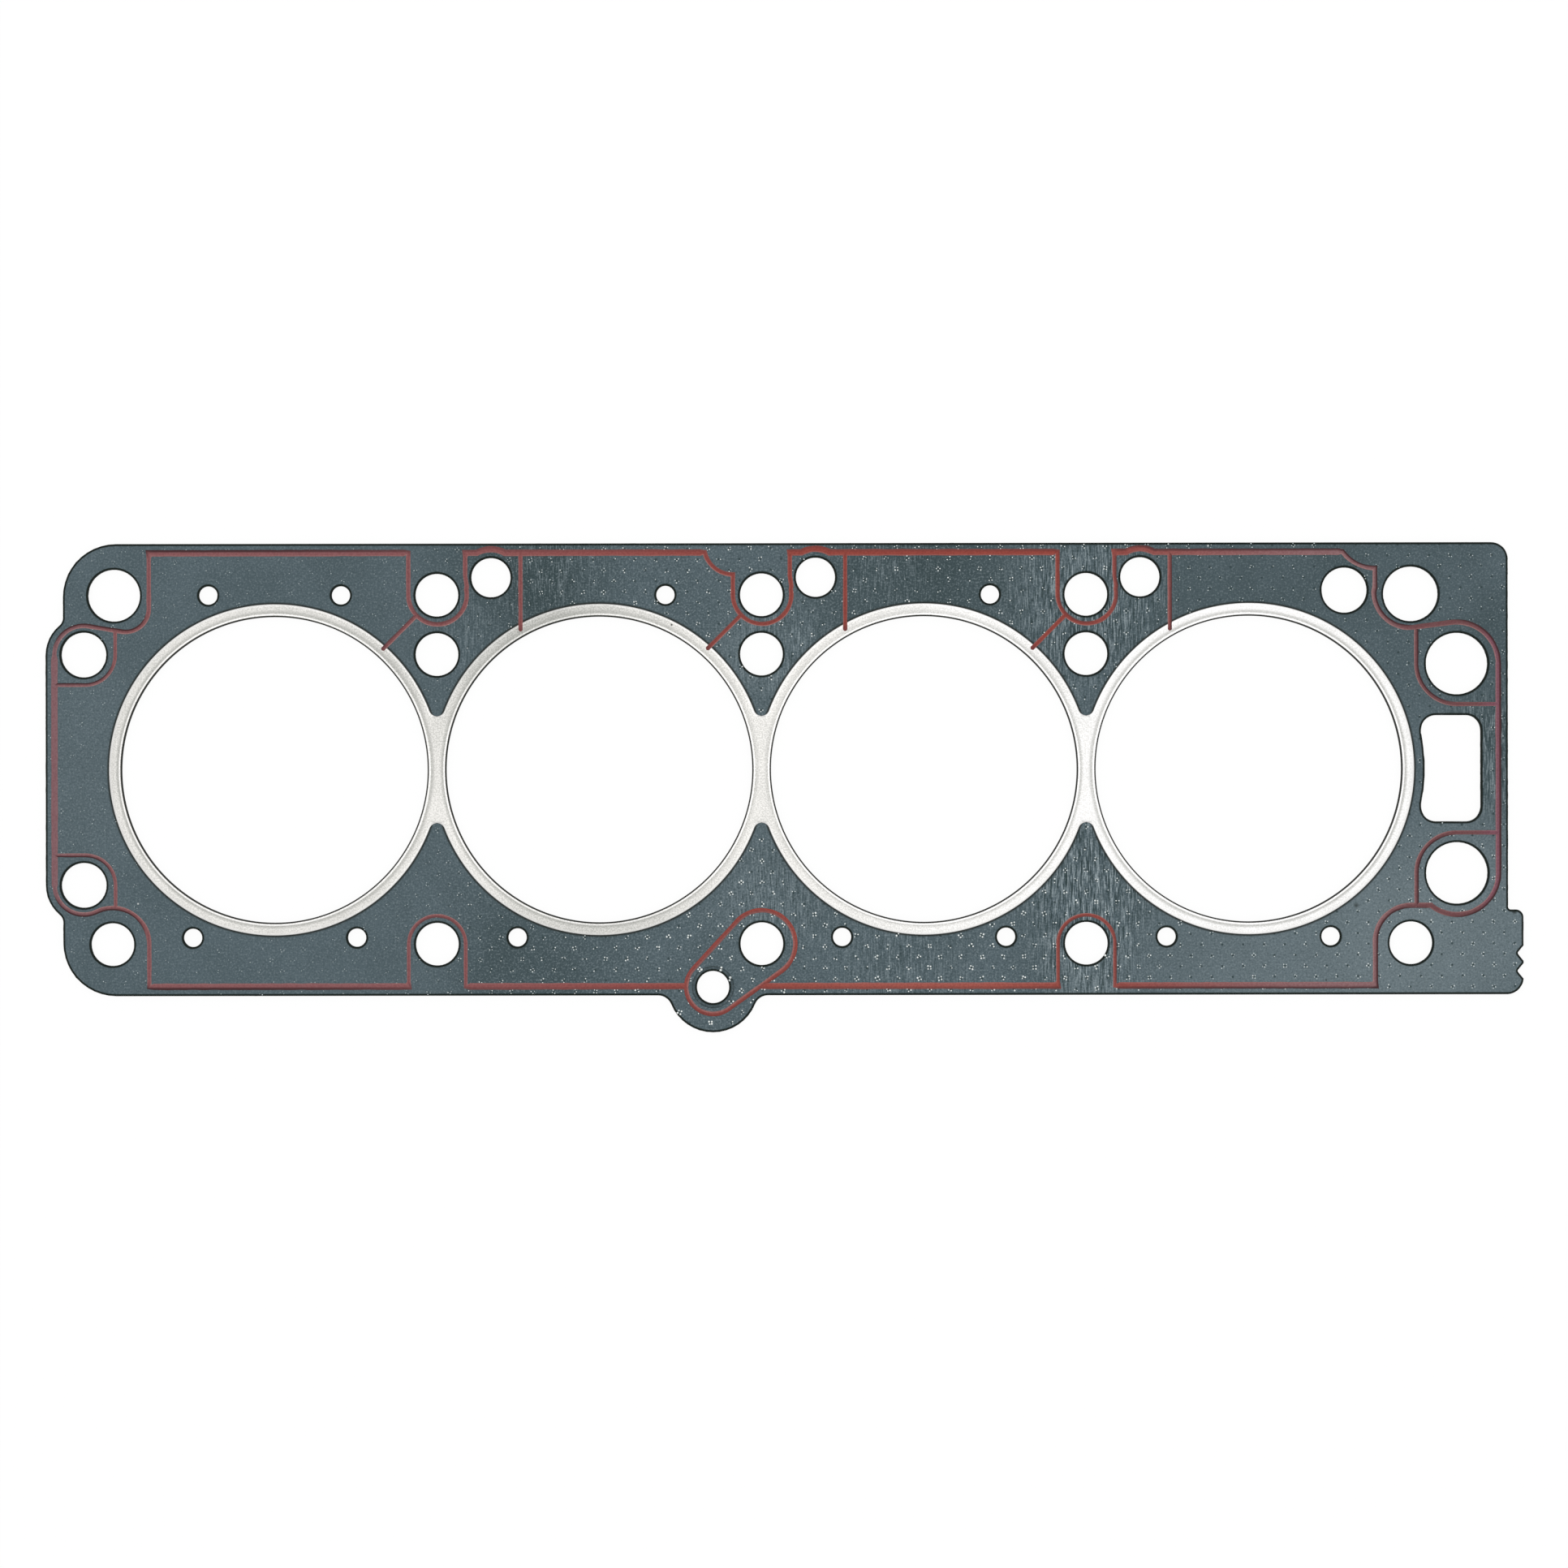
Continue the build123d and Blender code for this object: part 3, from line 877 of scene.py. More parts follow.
        if lean < self.tip_angle - self.slack:
            return ColumnEnd(self.valley[0] / math.cos(math.radians(lean)), True, to_valley)
        cosine, sine = math.cos(math.radians(angle)), math.sin(math.radians(angle))
        along = centre[0] * cosine + centre[1] * sine
        across = centre[1] * cosine - centre[0] * sine
        return ColumnEnd(along - math.sqrt(max(0.0, self.valley_radius**2 - across**2)), False, to_valley)

    def _crown_height(self, radius: float) -> float:
        """Find the height of the upper face, apart from the rounded outer edge.

        Args:
            radius: The distance to the bore's centre.

        Returns:
            The height above the deck.
        """
        for (r_low, z_low), (r_high, z_high) in zip(self.crown, self.crown[1:]):
            if radius <= r_high:
                return z_low + (z_high - z_low) * (radius - r_low) / (r_high - r_low)
        return self.layout.flange_top

    def _eye(self, draft: MeshDraft, centre_x: float) -> None:
        """Add one eye of the pressing.

        Args:
            draft: The pressing's draft.
            centre_x: X of the bore.
        """
        left, right = centre_x > self.layout.bores[0] + 1, centre_x < self.layout.bores[-1] - 1
        columns = []
        for angle in self._angles():
            end = self._end(angle, left, right)
            columns.append((self._column(draft, centre_x, angle, end), end.on_web))
        for (first, first_web), (second, second_web) in zip(columns, columns[1:] + columns[:1]):
            draft.band(first, second, False)
            if not (first_web or second_web):
                draft.face(first[-1], second[-1], second[0], first[0])

    def _column(self, draft: MeshDraft, centre_x: float, angle: float, end: ColumnEnd) -> list[Vert]:
        """Add the section's points at one angle, from the outer edge inwards and back underneath.

        Args:
            draft: The pressing's draft.
            centre_x: X of the bore.
            angle: The column's angle in degrees.
            end: Where the column ends outside.

        Returns:
            The points in order.
        """
        cosine, sine = math.cos(math.radians(angle)), math.sin(math.radians(angle))
        outer = end.radius
        shoulder = min(self.shoulder, outer - self.shoulder_step)
        upper = [outer - step for step in self.edge_steps]
        upper += [outer + (shoulder - outer) * share for share in self.shoulder_shares]
        rows = []
        for radius in (*upper, *self.section):
            gap = end.gap(radius * cosine, radius * sine)
            round_off = self.edge_drop * (1 - ease(gap, 0.0, self.edge_round))
            # Painted shade on the slope, round the bore and along the edges, and painted highlight on the
            # crest and the outer edge.
            marks = {
                "groove": bell(radius, *self.groove),
                "slope_shade": ease(radius, *self.slope_start) * (1 - ease(radius, *self.slope_end)),
                "highlight": max(1 - ease(gap, *self.edge_highlight), bell(radius, *self.highlight_ring)),
                "shadow": max(1 - ease(radius, *self.bore_shadow), 1 - ease(gap, *self.edge_shadow)),
            }
            rows.append((radius, self._crown_height(radius) - round_off, marks))
        return [
            draft.point(centre_x + radius * cosine, radius * sine, height, **marks)
            for radius, height, marks in rows + self._under_section(outer)
        ]

    def _under_section(self, outer: float) -> list[tuple[float, float, dict[str, float]]]:
        """List the hidden part of the section, down the bore, round the fold and back under the flange.

        Args:
            outer: Where the section ends outside.

        Returns:
            Radius, height and marks of each point.
        """
        layout = self.layout
        rim, wall, seat = layout.bore_radius, layout.sheet, layout.body_top - self.seat_dip
        steel = dict.fromkeys(self.marks, 0.0)
        dark = {**steel, "shadow": 1.0}
        rows = [(rim, self.wall_row, dark), (rim, self.bend, dark)]
        for turn in (math.radians(30), math.radians(60), math.radians(90)):
            rows.append((rim + self.bend * (1 - math.cos(turn)), self.bend * (1 - math.sin(turn)), steel))
        rows += [(layout.fold_radius + step, height, steel) for step, height in self.fold_edge]
        rows += [(rim + wall, wall, dark), (rim + wall, seat, dark)]
        rows += [(self.seat_inner, seat, steel), (self.seat_outer, layout.body_top, steel)]
        return rows + [(outer, layout.body_top, steel)]


# Facings


@dataclass
class Facing:
    """Soft facing sheet with the rounded, slightly rough edges that punching leaves.

    The rings of an edge are pairs: how far they lie in from the outline, and how high against the face.
    Corners of the solid are matched by whole numbers of a key step.
    """

    layout: Layout
    side: Side
    name: str
    node: str
    seed: float = 0.0
    step: float = 0.6
    shortest: float = 0.05
    wave: float = 0.11
    slot_wave: float = 0.5
    slot_middle: float = 197.5
    slot_half: Point = (8.5, 15.5)
    punched: tuple[Point, ...] = ((0.0, -0.16), (0.08, -0.06), (0.22, -0.02), (0.52, -0.004), (0.74, 0.0))
    seated: tuple[Point, ...] = ((0.0, -0.08), (1.3, 0.0))
    pressed: tuple[Point, ...] = (
        (0.0, -0.16), (0.08, -0.11), (0.3, -0.1), (0.5, -0.1), (0.62, -0.085),
        (0.74, -0.1), (1.15, -0.1), (1.25, -0.1), (1.38, -0.06), (1.55, 0.0),
    )
    bore_edge: Point = (43.0, 45.0)
    bore_corners: int = 40
    oil_edge: float = 6.0
    rough_fade: Point = (0.1, 0.6)
    cut_fade: Point = (0.5, 0.72)
    hidden_rough: float = 0.6
    hidden_dark: float = 0.8
    groove_end: float = 1.2
    groove_dark: float = 0.3
    ridge_dark: float = 0.62
    ridge_fade: Point = (1.36, 1.55)
    source: str = "facing_lower"
    face_slack: float = 1e-6
    keys_per_metre: float = 1e7
    key_step: float = 1e-4
    fill_slack: float = 1e-6
    inside_with_holes: int = 2

    def build(self, finish: bpy.types.Material) -> bpy.types.Object:
        """Make the sheet.

        Args:
            finish: The facing's material.

        Returns:
            The piece.
        """
        draft = MeshDraft(self.name, ("cut",))
        edges = [self._edge(draft, loop) for loop in self._outlines()]
        self._cap(draft, [outer for outer, _ in edges])
        self._cap(draft, [hidden for _, hidden in edges])
        return draft.build(finish, Slot.FACING, self.node, 35.0)

    def _outlines(self) -> list[list[Point]]:
        """Trace the outlines of the solid facing's top face.

        Returns:
            Closed outlines in millimetres, with the material on their left.
        """
        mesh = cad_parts[self.source].data
        level = max(vertex.co.z for vertex in mesh.vertices) - self.face_slack
        edges: dict[tuple[tuple[int, int], tuple[int, int]], None] = {}
        for polygon in mesh.polygons:
            corners = [mesh.vertices[i].co for i in polygon.vertices]
            if min(corner.z for corner in corners) < level:
                continue
            scale = self.keys_per_metre
            keys = [(round(corner.x * scale), round(corner.y * scale)) for corner in corners]
            if polygon.normal.z < 0:
                keys.reverse()
            edges.update(dict.fromkeys(zip(keys, keys[1:] + keys[:1])))
        after = {start: end for start, end in edges if (end, start) not in edges}
        loops = []
        while after:
            start, end = after.popitem()
            loop = [start]
            while end != loop[0]:
                loop.append(end)
                end = after.pop(end)
            outline = [(x * self.key_step, y * self.key_step) for x, y in loop]
            pairs = zip(outline, outline[1:] + outline[:1])
            loops.append([here for here, ahead in pairs if math.dist(here, ahead) > self.shortest])
        return loops

    def _resampled(self, loop: list[Point]) -> tuple[list[Point], list[Point]]:
        """Divide an outline into short steps.

        Args:
            loop: The outline's corners.

        Returns:
            The points, and at each the direction into the material, longer at sharp corners.
        """
        points: list[Point] = []
        for (ax, ay), (bx, by) in zip(loop, loop[1:] + loop[:1]):
            count = max(1, math.ceil(math.hypot(bx - ax, by - ay) / self.step))
            points += [(ax + (bx - ax) * i / count, ay + (by - ay) * i / count) for i in range(count)]
        inwards: list[Point] = []
        for i, here in enumerate(points):
            before, ahead = points[i - 1], points[(i + 1) % len(points)]
            first = Vector((before[1] - here[1], here[0] - before[0])).normalized()
            second = Vector((here[1] - ahead[1], ahead[0] - here[0])).normalized()
            middle = (first + second).normalized()
            middle /= max(SHARPEST, middle.dot(first))
            inwards.append((middle.x, middle.y))
        return points, inwards

    def _kind(self, loop: list[Point]) -> tuple[Edge, tuple[Point, ...]]:
        """Choose the edge that an outline gets.

        Args:
            loop: The outline.

        Returns:
            The kind of edge and its rings.
        """
        middle = (sum(x for x, _ in loop) / len(loop), sum(y for _, y in loop) / len(loop))
        radius = math.dist(middle, loop[0])
        low, high = self.bore_edge
        if abs(middle[1]) < 1 and low < radius < high and len(loop) > self.bore_corners:
            return Edge.SEATED, self.seated if self.side is Side.HEAD else ((0.0, 0.0),)
        if self.side is Side.HEAD and math.dist(middle, self.layout.oil) < 0.5 and radius < self.oil_edge:
            return Edge.PRESSED, self.pressed
        return Edge.PUNCHED, self.punched

    def _edge(self, draft: MeshDraft, loop: list[Point]) -> tuple[list[Vert], list[Vert]]:
        """Add the wall of an outline and its rounded edge.

        Args:
            draft: The sheet's draft.
            loop: The outline.

        Returns:
            The innermost rings of the outer face and of the hidden face.
        """
        kind, profile = self._kind(loop)
        points, inwards = self._resampled(loop)
        rough = [0.0 if kind is Edge.SEATED else self._roughness(x, y) for x, y in points]
        outward = self.layout.face(self.side)

        def ring(inset: float, fade: float, height: float, dark: float) -> list[Vert]:
            """Add a ring of points.

            Args:
                inset: How far it lies in from the outline.
                fade: The share of the roughness that it has.
                height: Its height above the deck.
                dark: How dark its points are.

            Returns:
                The points in order.
            """
            made = []
            for (x, y), (nx, ny), draw in zip(points, inwards, rough):
                far = inset + draw * fade
                made.append(draft.point(x + nx * far, y + ny * far, height, cut=dark))
            return made

        rings = []
        for inset, drop in profile:
            # The edge darkens: the cut fibre's own dark colour, with painted shade on the rounded edge and
            # the wall.
            dark = 0.0 if kind is Edge.SEATED else 1 - ease(inset, *self.cut_fade)
            if kind is Edge.PRESSED:
                ridge = self.ridge_dark * (1 - ease(inset, *self.ridge_fade))
                dark = max(dark, self.groove_dark if inset < self.groove_end else ridge)
            height = outward + self.side.value * drop
            rings.append(ring(inset, 1 - ease(inset, *self.rough_fade), height, dark))
        hidden_dark = 0.0 if kind is Edge.SEATED else self.hidden_dark
        back = ring(0.0, self.hidden_rough, self.layout.core_face(self.side), hidden_dark)
        for first, second in zip(rings, rings[1:]):
            draft.band(first, second, True)
        draft.band(rings[0], back, True)
        return rings[-1], back

    def _roughness(self, x: float, y: float) -> float:
        """Find how far the edge is drawn back, which is more in the slot.

        Args:
            x: The place along the row of bores.
            y: The place across it.

        Returns:
            The distance.
        """
        place = Vector((x, y, self.seed))
        if abs(x - self.slot_middle) < self.slot_half[0] and abs(y) < self.slot_half[1]:
            return self.slot_wave * max(0.0, noise.noise(place * 0.3))
        return self.wave * max(0.0, 0.5 + 0.7 * noise.noise(place * 0.45) + 0.45 * noise.noise(place * 1.3))

    def _cap(self, draft: MeshDraft, loops: list[list[Vert]]) -> None:
        """Fill the flat face between the outlines.

        Args:
            draft: The sheet's draft.
            loops: The rings that bound the face.
        """
        points = [vertex for loop in loops for vertex in loop]
        flat = [Vector((vertex.co.x / MM, vertex.co.y / MM)) for vertex in points]
        outlines, start = [], 0
        for loop in loops:
            outlines.append(list(range(start, start + len(loop))))
            start += len(loop)
        made = delaunay_2d_cdt(flat, [], outlines, self.inside_with_holes, self.fill_slack)
        places, faces, sources = made[0], made[2], made[3]
        height = points[0].co.z / MM
        corner = [
            points[source[0]] if source else draft.point(place.x, place.y, height)
            for place, source in zip(places, sources)
        ]
        for face in faces:
            if draft.mesh.faces.get([corner[i] for i in face]) is None:
                draft.face(*[corner[i] for i in face])


# Sealing beads


class Pen:
    """Centre line of a printed bead, drawn as lines and arcs."""

    def __init__(self, start: Point, width: float, pitch: float = 1.3, arc_pitch: float = 0.7) -> None:
        """Put the pen down.

        Args:
            start: The line's first point.
            width: The bead's width there.
            pitch: The most that points on a straight line are apart.
            arc_pitch: The most that points on an arc are apart.
        """
        self.points: Route = [(start[0], start[1], width)]
        self.pitch = pitch
        self.arc_pitch = arc_pitch

    def line(self, end: Point, width: float) -> "Pen":
        """Draw straight to a point.

        Args:
            end: The point.
            width: The bead's width.

        Returns:
            The pen.
        """
        x, y, _ = self.points[-1]
        length = math.hypot(end[0] - x, end[1] - y)
        count = max(1, round(length / self.pitch))
        for i in range(1, count + 1):
            share = i / count
            self.points.append((x + (end[0] - x) * share, y + (end[1] - y) * share, width))
        return self

    def arc(self, centre: Point, radius: float, first: float, last: float, width: float) -> "Pen":
        """Draw along an arc.

        Args:
            centre: The arc's centre.
            radius: Its radius.
            first: The angle in degrees at which it starts.
            last: The angle at which it ends, the larger one if it runs anticlockwise.
            width: The bead's width.

        Returns:
            The pen.
        """
        count = max(3, math.ceil(abs(last - first) * math.pi / 180 * radius / self.arc_pitch))
        for i in range(1, count + 1):
            x, y = polar(centre, radius, first + (last - first) * i / count)
            self.points.append((x, y, width))
        return self

    def mirrored(self) -> Route:
        """Return the same line on the other side of the row of bores."""
        return [(x, -y, width) for x, y, width in self.points]


@dataclass
class SealingBead:
    """Crowned silicone bead: a run round the gasket, a loop round the oil return, and branches."""

    layout: Layout
    side: Side
    name: str
    node: str
    run: float = 1.85
    bend: float = 1.3
    rear_run: float = 1.65
    rear_bend: float = 1.48
    lower_leg: float = 1.08
    ring_branch: float = 1.25
    branch: float = 1.08
    bolt_radius: float = 8.15
    bolt_bulge: float = 0.22
    dowel_drop: float = 3.7
    dowel_radius: float = 6.7
    ear: Point = (-194.2, 33.0)
    front_radius: float = 10.5
    water: Point = (199.2, 30.0)
    water_radius: float = 11.9
    rear_radius: float = 10.2
    rear_lift: float = 0.55
    rear_shift: float = 0.3
    widening: float = -12.0
    waver: float = 0.12
    passage: Point = (15.5, 5.0)
    rear_scoop: Point = (11.5, 6.8)
    middle_scoop: Point = (8.3, 2.0)
    ring_branch_shift: float = 24.0
    ear_branch: float = 8.6
    ear_branch_shift: float = 0.45
    water_branch: float = 11.6
    oil_radius: float = 7.7
    oil_bolt_radius: float = 9.6
    branch_stop: float = 1.5
    block_stop: float = 0.3
    branch_vein: float = 0.35
    slim: Point = (1.35, 1.8)
    slim_vein: float = 0.45
    dark_end: Point = (0.4, 2.6)
    flange_step: float = 0.35
    end_share: float = 0.12
    shade_along: Point = (50.0, 150.0)
    section: tuple[Point, ...] = (
        (-1.0, 0.0), (-0.95, 0.38), (-0.8, 0.72), (-0.52, 0.93), (0.0, 1.0),
        (0.52, 0.93), (0.8, 0.72), (0.95, 0.38), (1.0, 0.0),
    )

    @property
    def ear_radius(self) -> float:
        """Radius of the run round the front ears."""
        dowel = (self.layout.bolts[0], self.layout.bolt_row)
        return math.dist(dowel, self.ear) - self.front_radius

    def build(self, finish: bpy.types.Material) -> bpy.types.Object:
        """Make the bead with all its branches.

        Args:
            finish: The bead's material.

        Returns:
            The piece.
        """
        draft = MeshDraft(self.name, ("highlight_flank", "vein", "shaded_flank"))
        oil_loop = self._oil_loop()
        self._sweep(draft, oil_loop, closed=True)
        self._sweep(draft, self._main_run(oil_loop))
        for route in self._ring_branches():
            self._sweep(draft, route, blunt=False, vein=self.branch_vein)
        for pen in (self._ear_branch(), self._water_branch()):
            self._sweep(draft, pen.points, vein=self.branch_vein)
            self._sweep(draft, pen.mirrored(), vein=self.branch_vein)
        return draft.build(finish, Slot.SEALANT, self.node, 45.0)

    def _oil_loop(self) -> Route:
        """Draw the belt round the middle bolt and the oil return, anticlockwise.

        Returns:
            The closed route.
        """
        bolt, oil = (0.0, -self.layout.bolt_row), self.layout.oil
        lean = math.degrees(math.acos((self.oil_bolt_radius - self.oil_radius) / math.dist(bolt, oil)))
        towards = bearing(bolt, oil) % 360
        pen = Pen(polar(bolt, self.oil_bolt_radius, towards + lean - 360), self.bend)
        pen.arc(bolt, self.oil_bolt_radius, towards + lean - 360, towards - lean, self.bend)
        pen.line(polar(oil, self.oil_radius, towards - lean), self.bend)
        pen.arc(oil, self.oil_radius, towards - lean, towards + lean, self.bend)
        pen.line(polar(bolt, self.oil_bolt_radius, towards + lean), self.bend)
        return pen.points[:-1]

    def _main_run(self, oil_loop: Route) -> Route:
        """Draw the run from the right of the oil loop, round by the rear and the front, to its left.

        Args:
            oil_loop: The belt that the run starts and ends on.

        Returns:
            The route.
        """
        row, bolts = self.layout.bead_row, self.layout.bolts
        crossings = []
        for (ax, ay, _), (bx, by, _) in zip(oil_loop, oil_loop[1:] + oil_loop[:1]):
            if (ay + row) * (by + row) < 0:
                crossings.append(ax + (bx - ax) * (-row - ay) / (by - ay))
        pen = Pen((max(crossings), -row), self.run)
        self._lower_bolt(pen, bolts[3])
        self._rear(pen)
        for i in (3, 2, 1):
            self._upper_bolt(pen, bolts[i], scooped=i == 2)
        self._front(pen)
        self._lower_bolt(pen, bolts[1])
        return pen.line((min(crossings), -row), self.run).points

    def _rear(self, pen: Pen) -> None:
        """Draw round the rear: the lower bolt, both water holes and the dowel.

        Args:
            pen: The run's pen, on the lower edge.
        """
        row, bolt_row, bolt_x = self.layout.bead_row, self.layout.bolt_row, self.layout.bolts[4]
        radius, width, edge = self.rear_radius, self.rear_bend, self.water_radius
        leg_x = bolt_x - radius
        hole, water = (bolt_x, self.rear_lift - bolt_row), (self.water[0], -self.water[1])
        pen.line((leg_x, -row), self.run).line((leg_x, hole[1]), width)
        pen.arc(hole, radius, 180, 90, width)
        below = water[1] - hole[1] - radius
        landing = (water[0] - math.sqrt(edge**2 - below**2), hole[1] + radius)
        pen.line(landing, width).arc(water, edge, bearing(water, landing), self.widening, width)
        pen.arc(water, edge, self.widening, 0, self.rear_run)
        pen.line((self.water[0] + edge, self.water[1]), self.rear_run)
        upper_hole = (bolt_x - self.rear_shift, bolt_row + self.rear_lift)
        lean = math.degrees(math.acos((radius + edge) / math.dist(upper_hole, self.water)))
        leave = lean - bearing(upper_hole, self.water)
        pen.arc(self.water, edge, 0, 180 - leave, width)
        pen.line(polar(upper_hole, radius, -leave), width).arc(upper_hole, radius, -leave, -180, width)
        pen.line((leg_x, bolt_row + 2.0), width)
        self._scoop(pen, leg_x, *self.rear_scoop)

    def _front(self, pen: Pen) -> None:
        """Draw round the front: the dowel, both ears and the lower bolt.

        Args:
            pen: The run's pen, on the upper edge.
        """
        row, bolt_row, bolt_x = self.layout.bead_row, self.layout.bolt_row, self.layout.bolts[0]
        ear_radius, width = self.ear_radius, self.bend
        front = bolt_x + self.front_radius
        inner = (front - self.dowel_radius, bolt_row - self.dowel_drop)
        lean = math.degrees(math.acos((self.dowel_radius + ear_radius) / math.dist(inner, self.ear)))
        leave = bearing(inner, self.ear) + lean
        pen.line((front, row), self.run).line((front, bolt_row), width)
        pen.line((front, inner[1]), width).arc(inner, self.dowel_radius, 0, leave, width)
        pen.line(polar(self.ear, ear_radius, leave + 180), width)
        pen.arc(self.ear, ear_radius, leave + 180, 180, width)
        turn = bearing((bolt_x, bolt_row), self.ear)
        low_ear = (self.ear[0], -self.ear[1])
        pen.line((self.ear[0] - ear_radius, -self.ear[1]), self.run)
        pen.arc(low_ear, ear_radius, 180, 180 - turn, width)
        pen.arc((bolt_x, -bolt_row), self.front_radius, -turn, 0, width)
        pen.line((front, -row), width)

    def _lower_bolt(self, pen: Pen, x: float) -> None:
        """Draw along the lower edge to a bolt and over it.

        Args:
            pen: The run's pen.
            x: X of the bolt.
        """
        row, bolt_row, radius = self.layout.bead_row, self.layout.bolt_row, self.bolt_radius
        pen.line((x - radius, -row), self.run).line((x - radius, -bolt_row), self.lower_leg)
        pen.arc((x, -bolt_row), radius, 180, 0, self.lower_leg)
        pen.line((x + radius, -row), self.lower_leg)

    def _scoop(self, pen: Pen, leg_x: float, radius: float, rise: float) -> None:
        """Draw from a bolt's side up to the upper edge by the curve that starts on its leg.

        Args:
            pen: The run's pen, on the leg.
            leg_x: X of the leg.
            radius: The curve's radius.
            rise: How far its centre lies beyond the upper run.
        """
        centre = (leg_x, self.layout.bead_row + rise)
        start = (leg_x - math.sqrt(radius**2 - rise**2), self.layout.bead_row)
        pen.line((leg_x, centre[1] - radius), self.bend)
        pen.arc(centre, radius, 270, bearing(centre, start) % 360, self.bend)

    def _upper_bolt(self, pen: Pen, x: float, scooped: bool) -> None:
        """Draw along the upper edge, from the rear, over the passage and under a bolt.

        Args:
            pen: The run's pen.
            x: X of the bolt.
            scooped: Whether a curve leads back to the upper edge, and not a corner.
        """
        row, bolt_row, radius = self.layout.bead_row, self.layout.bolt_row, self.bolt_radius
        centre = (x + self.passage[0], bolt_row + self.passage[1])
        half = math.sqrt(radius**2 - (row - centre[1]) ** 2)
        lean = math.degrees(math.atan2(row - centre[1], half))
        pen.line((centre[0] + half, row), self.run).arc(centre, radius, lean, 180 - lean, self.run)
        bulge = self.bolt_bulge
        pen.line((x + radius, row), self.run).line((x + radius, bolt_row + 5.5), self.bend)
        pen.line((x + radius + 2 * bulge, bolt_row + 2.5), self.bend)
        pen.arc((x + bulge, bolt_row), radius + bulge, 15, -180, self.bend)
        if scooped:
            self._scoop(pen, x - radius, *self.middle_scoop)
        else:
            pen.line((x - radius, row), self.bend)

    def _ring_branches(self) -> list[Route]:
        """Draw the short branches from the upper edge to the bores.

        Returns:
            Their routes.
        """
        layout, above = self.layout, self.side is Side.HEAD
        stop = layout.flange_radius - self.branch_stop if above else layout.fold_radius + self.block_stop
        short = stop - 0.5 if above else stop
        routes = []
        for x in layout.bolts[1:-1]:
            start = polar((x, layout.bolt_row), self.bolt_radius, 225)
            routes.append(self._to_ring(start, 225, x - layout.bore_pitch / 2, stop))
            start = (x + self.ring_branch_shift, layout.bead_row)
            routes.append(self._to_ring(start, 270, x + layout.bore_pitch / 2, short))
        return routes

    def _to_ring(self, start: Point, angle: float, bore_x: float, stop: float) -> Route:
        """Draw a straight branch towards a bore, with closer points at its end.

        Args:
            start: Its first point.
            angle: Its direction in degrees.
            bore_x: X of the bore.
            stop: Its last point's distance to the bore's centre.

        Returns:
            The route.
        """
        cosine, sine = math.cos(math.radians(angle)), math.sin(math.radians(angle))
        along = (bore_x - start[0]) * cosine - start[1] * sine
        across = -start[1] * cosine - (bore_x - start[0]) * sine
        length = along - math.sqrt(stop**2 - across**2)
        pen = Pen(start, self.ring_branch)
        for far, pitch in ((max(0.0, length - 4.0), pen.pitch), (length, 0.2)):
            pen.pitch = pitch
            pen.line((start[0] + far * cosine, start[1] + far * sine), self.ring_branch)
        return pen.points

    def _ear_branch(self) -> Pen:
        """Draw the branch behind the upper front ear's water hole.

        Returns:
            The pen with its route.
        """
        x, y, radius = self.ear[0] + self.ear_branch_shift, self.ear[1], self.ear_branch
        pen = Pen((x + radius, self.layout.bolt_row - self.front_radius), self.branch)
        pen.line((x + radius, y), self.branch).arc((x, y), radius, 0, -90, self.branch)
        return pen.line((self.ear[0] - self.ear_radius, y - radius), self.branch)

    def _water_branch(self) -> Pen:
        """Draw the branch beside the upper rear water hole.

        Returns:
            The pen with its route.
        """
        x, y, radius = self.water[0], self.water[1], self.water_branch
        pen = Pen((x - radius, self.layout.bolt_row - self.rear_radius), self.ring_branch)
        pen.line((x - radius, y), self.ring_branch).arc(self.water, radius, 180, 270, self.ring_branch)
        return pen.line((x + self.water_radius, y - radius), self.ring_branch)

    def _base(self, x: float, y: float) -> float:
        """Find how high above the facing the bead starts, which is more where it lies on the flange.

        Args:
            x: The place along the row of bores.
            y: The place across it.

        Returns:
            The height.
        """
        if self.side is Side.BLOCK:
            return 0.0
        flange = self.layout.flange_radius
        return self.layout.sheet * (1 - ease(self.layout.reach(x, y), flange, flange + self.flange_step))

    @staticmethod
    def _heading(route: Route, i: int, closed: bool) -> tuple[Vector, float]:
        """Find a route's direction at a point.

        Args:
            route: The route.
            i: The point's number.
            closed: Whether the route is a loop.

        Returns:
            The direction, and how much wider a section has to be there to keep the bead's width.
        """
        count = len(route)
        x, y, _ = route[i]
        before = route[i - 1] if closed or i else None
        ahead = route[(i + 1) % count] if closed or i < count - 1 else None
        into = Vector((x - before[0], y - before[1])).normalized() if before else None
        out = Vector((ahead[0] - x, ahead[1] - y)).normalized() if ahead else None
        into, out = into or out, out or into
        mean = (into + out).normalized()
        return mean, 1 / max(SHARPEST, mean.dot(into))

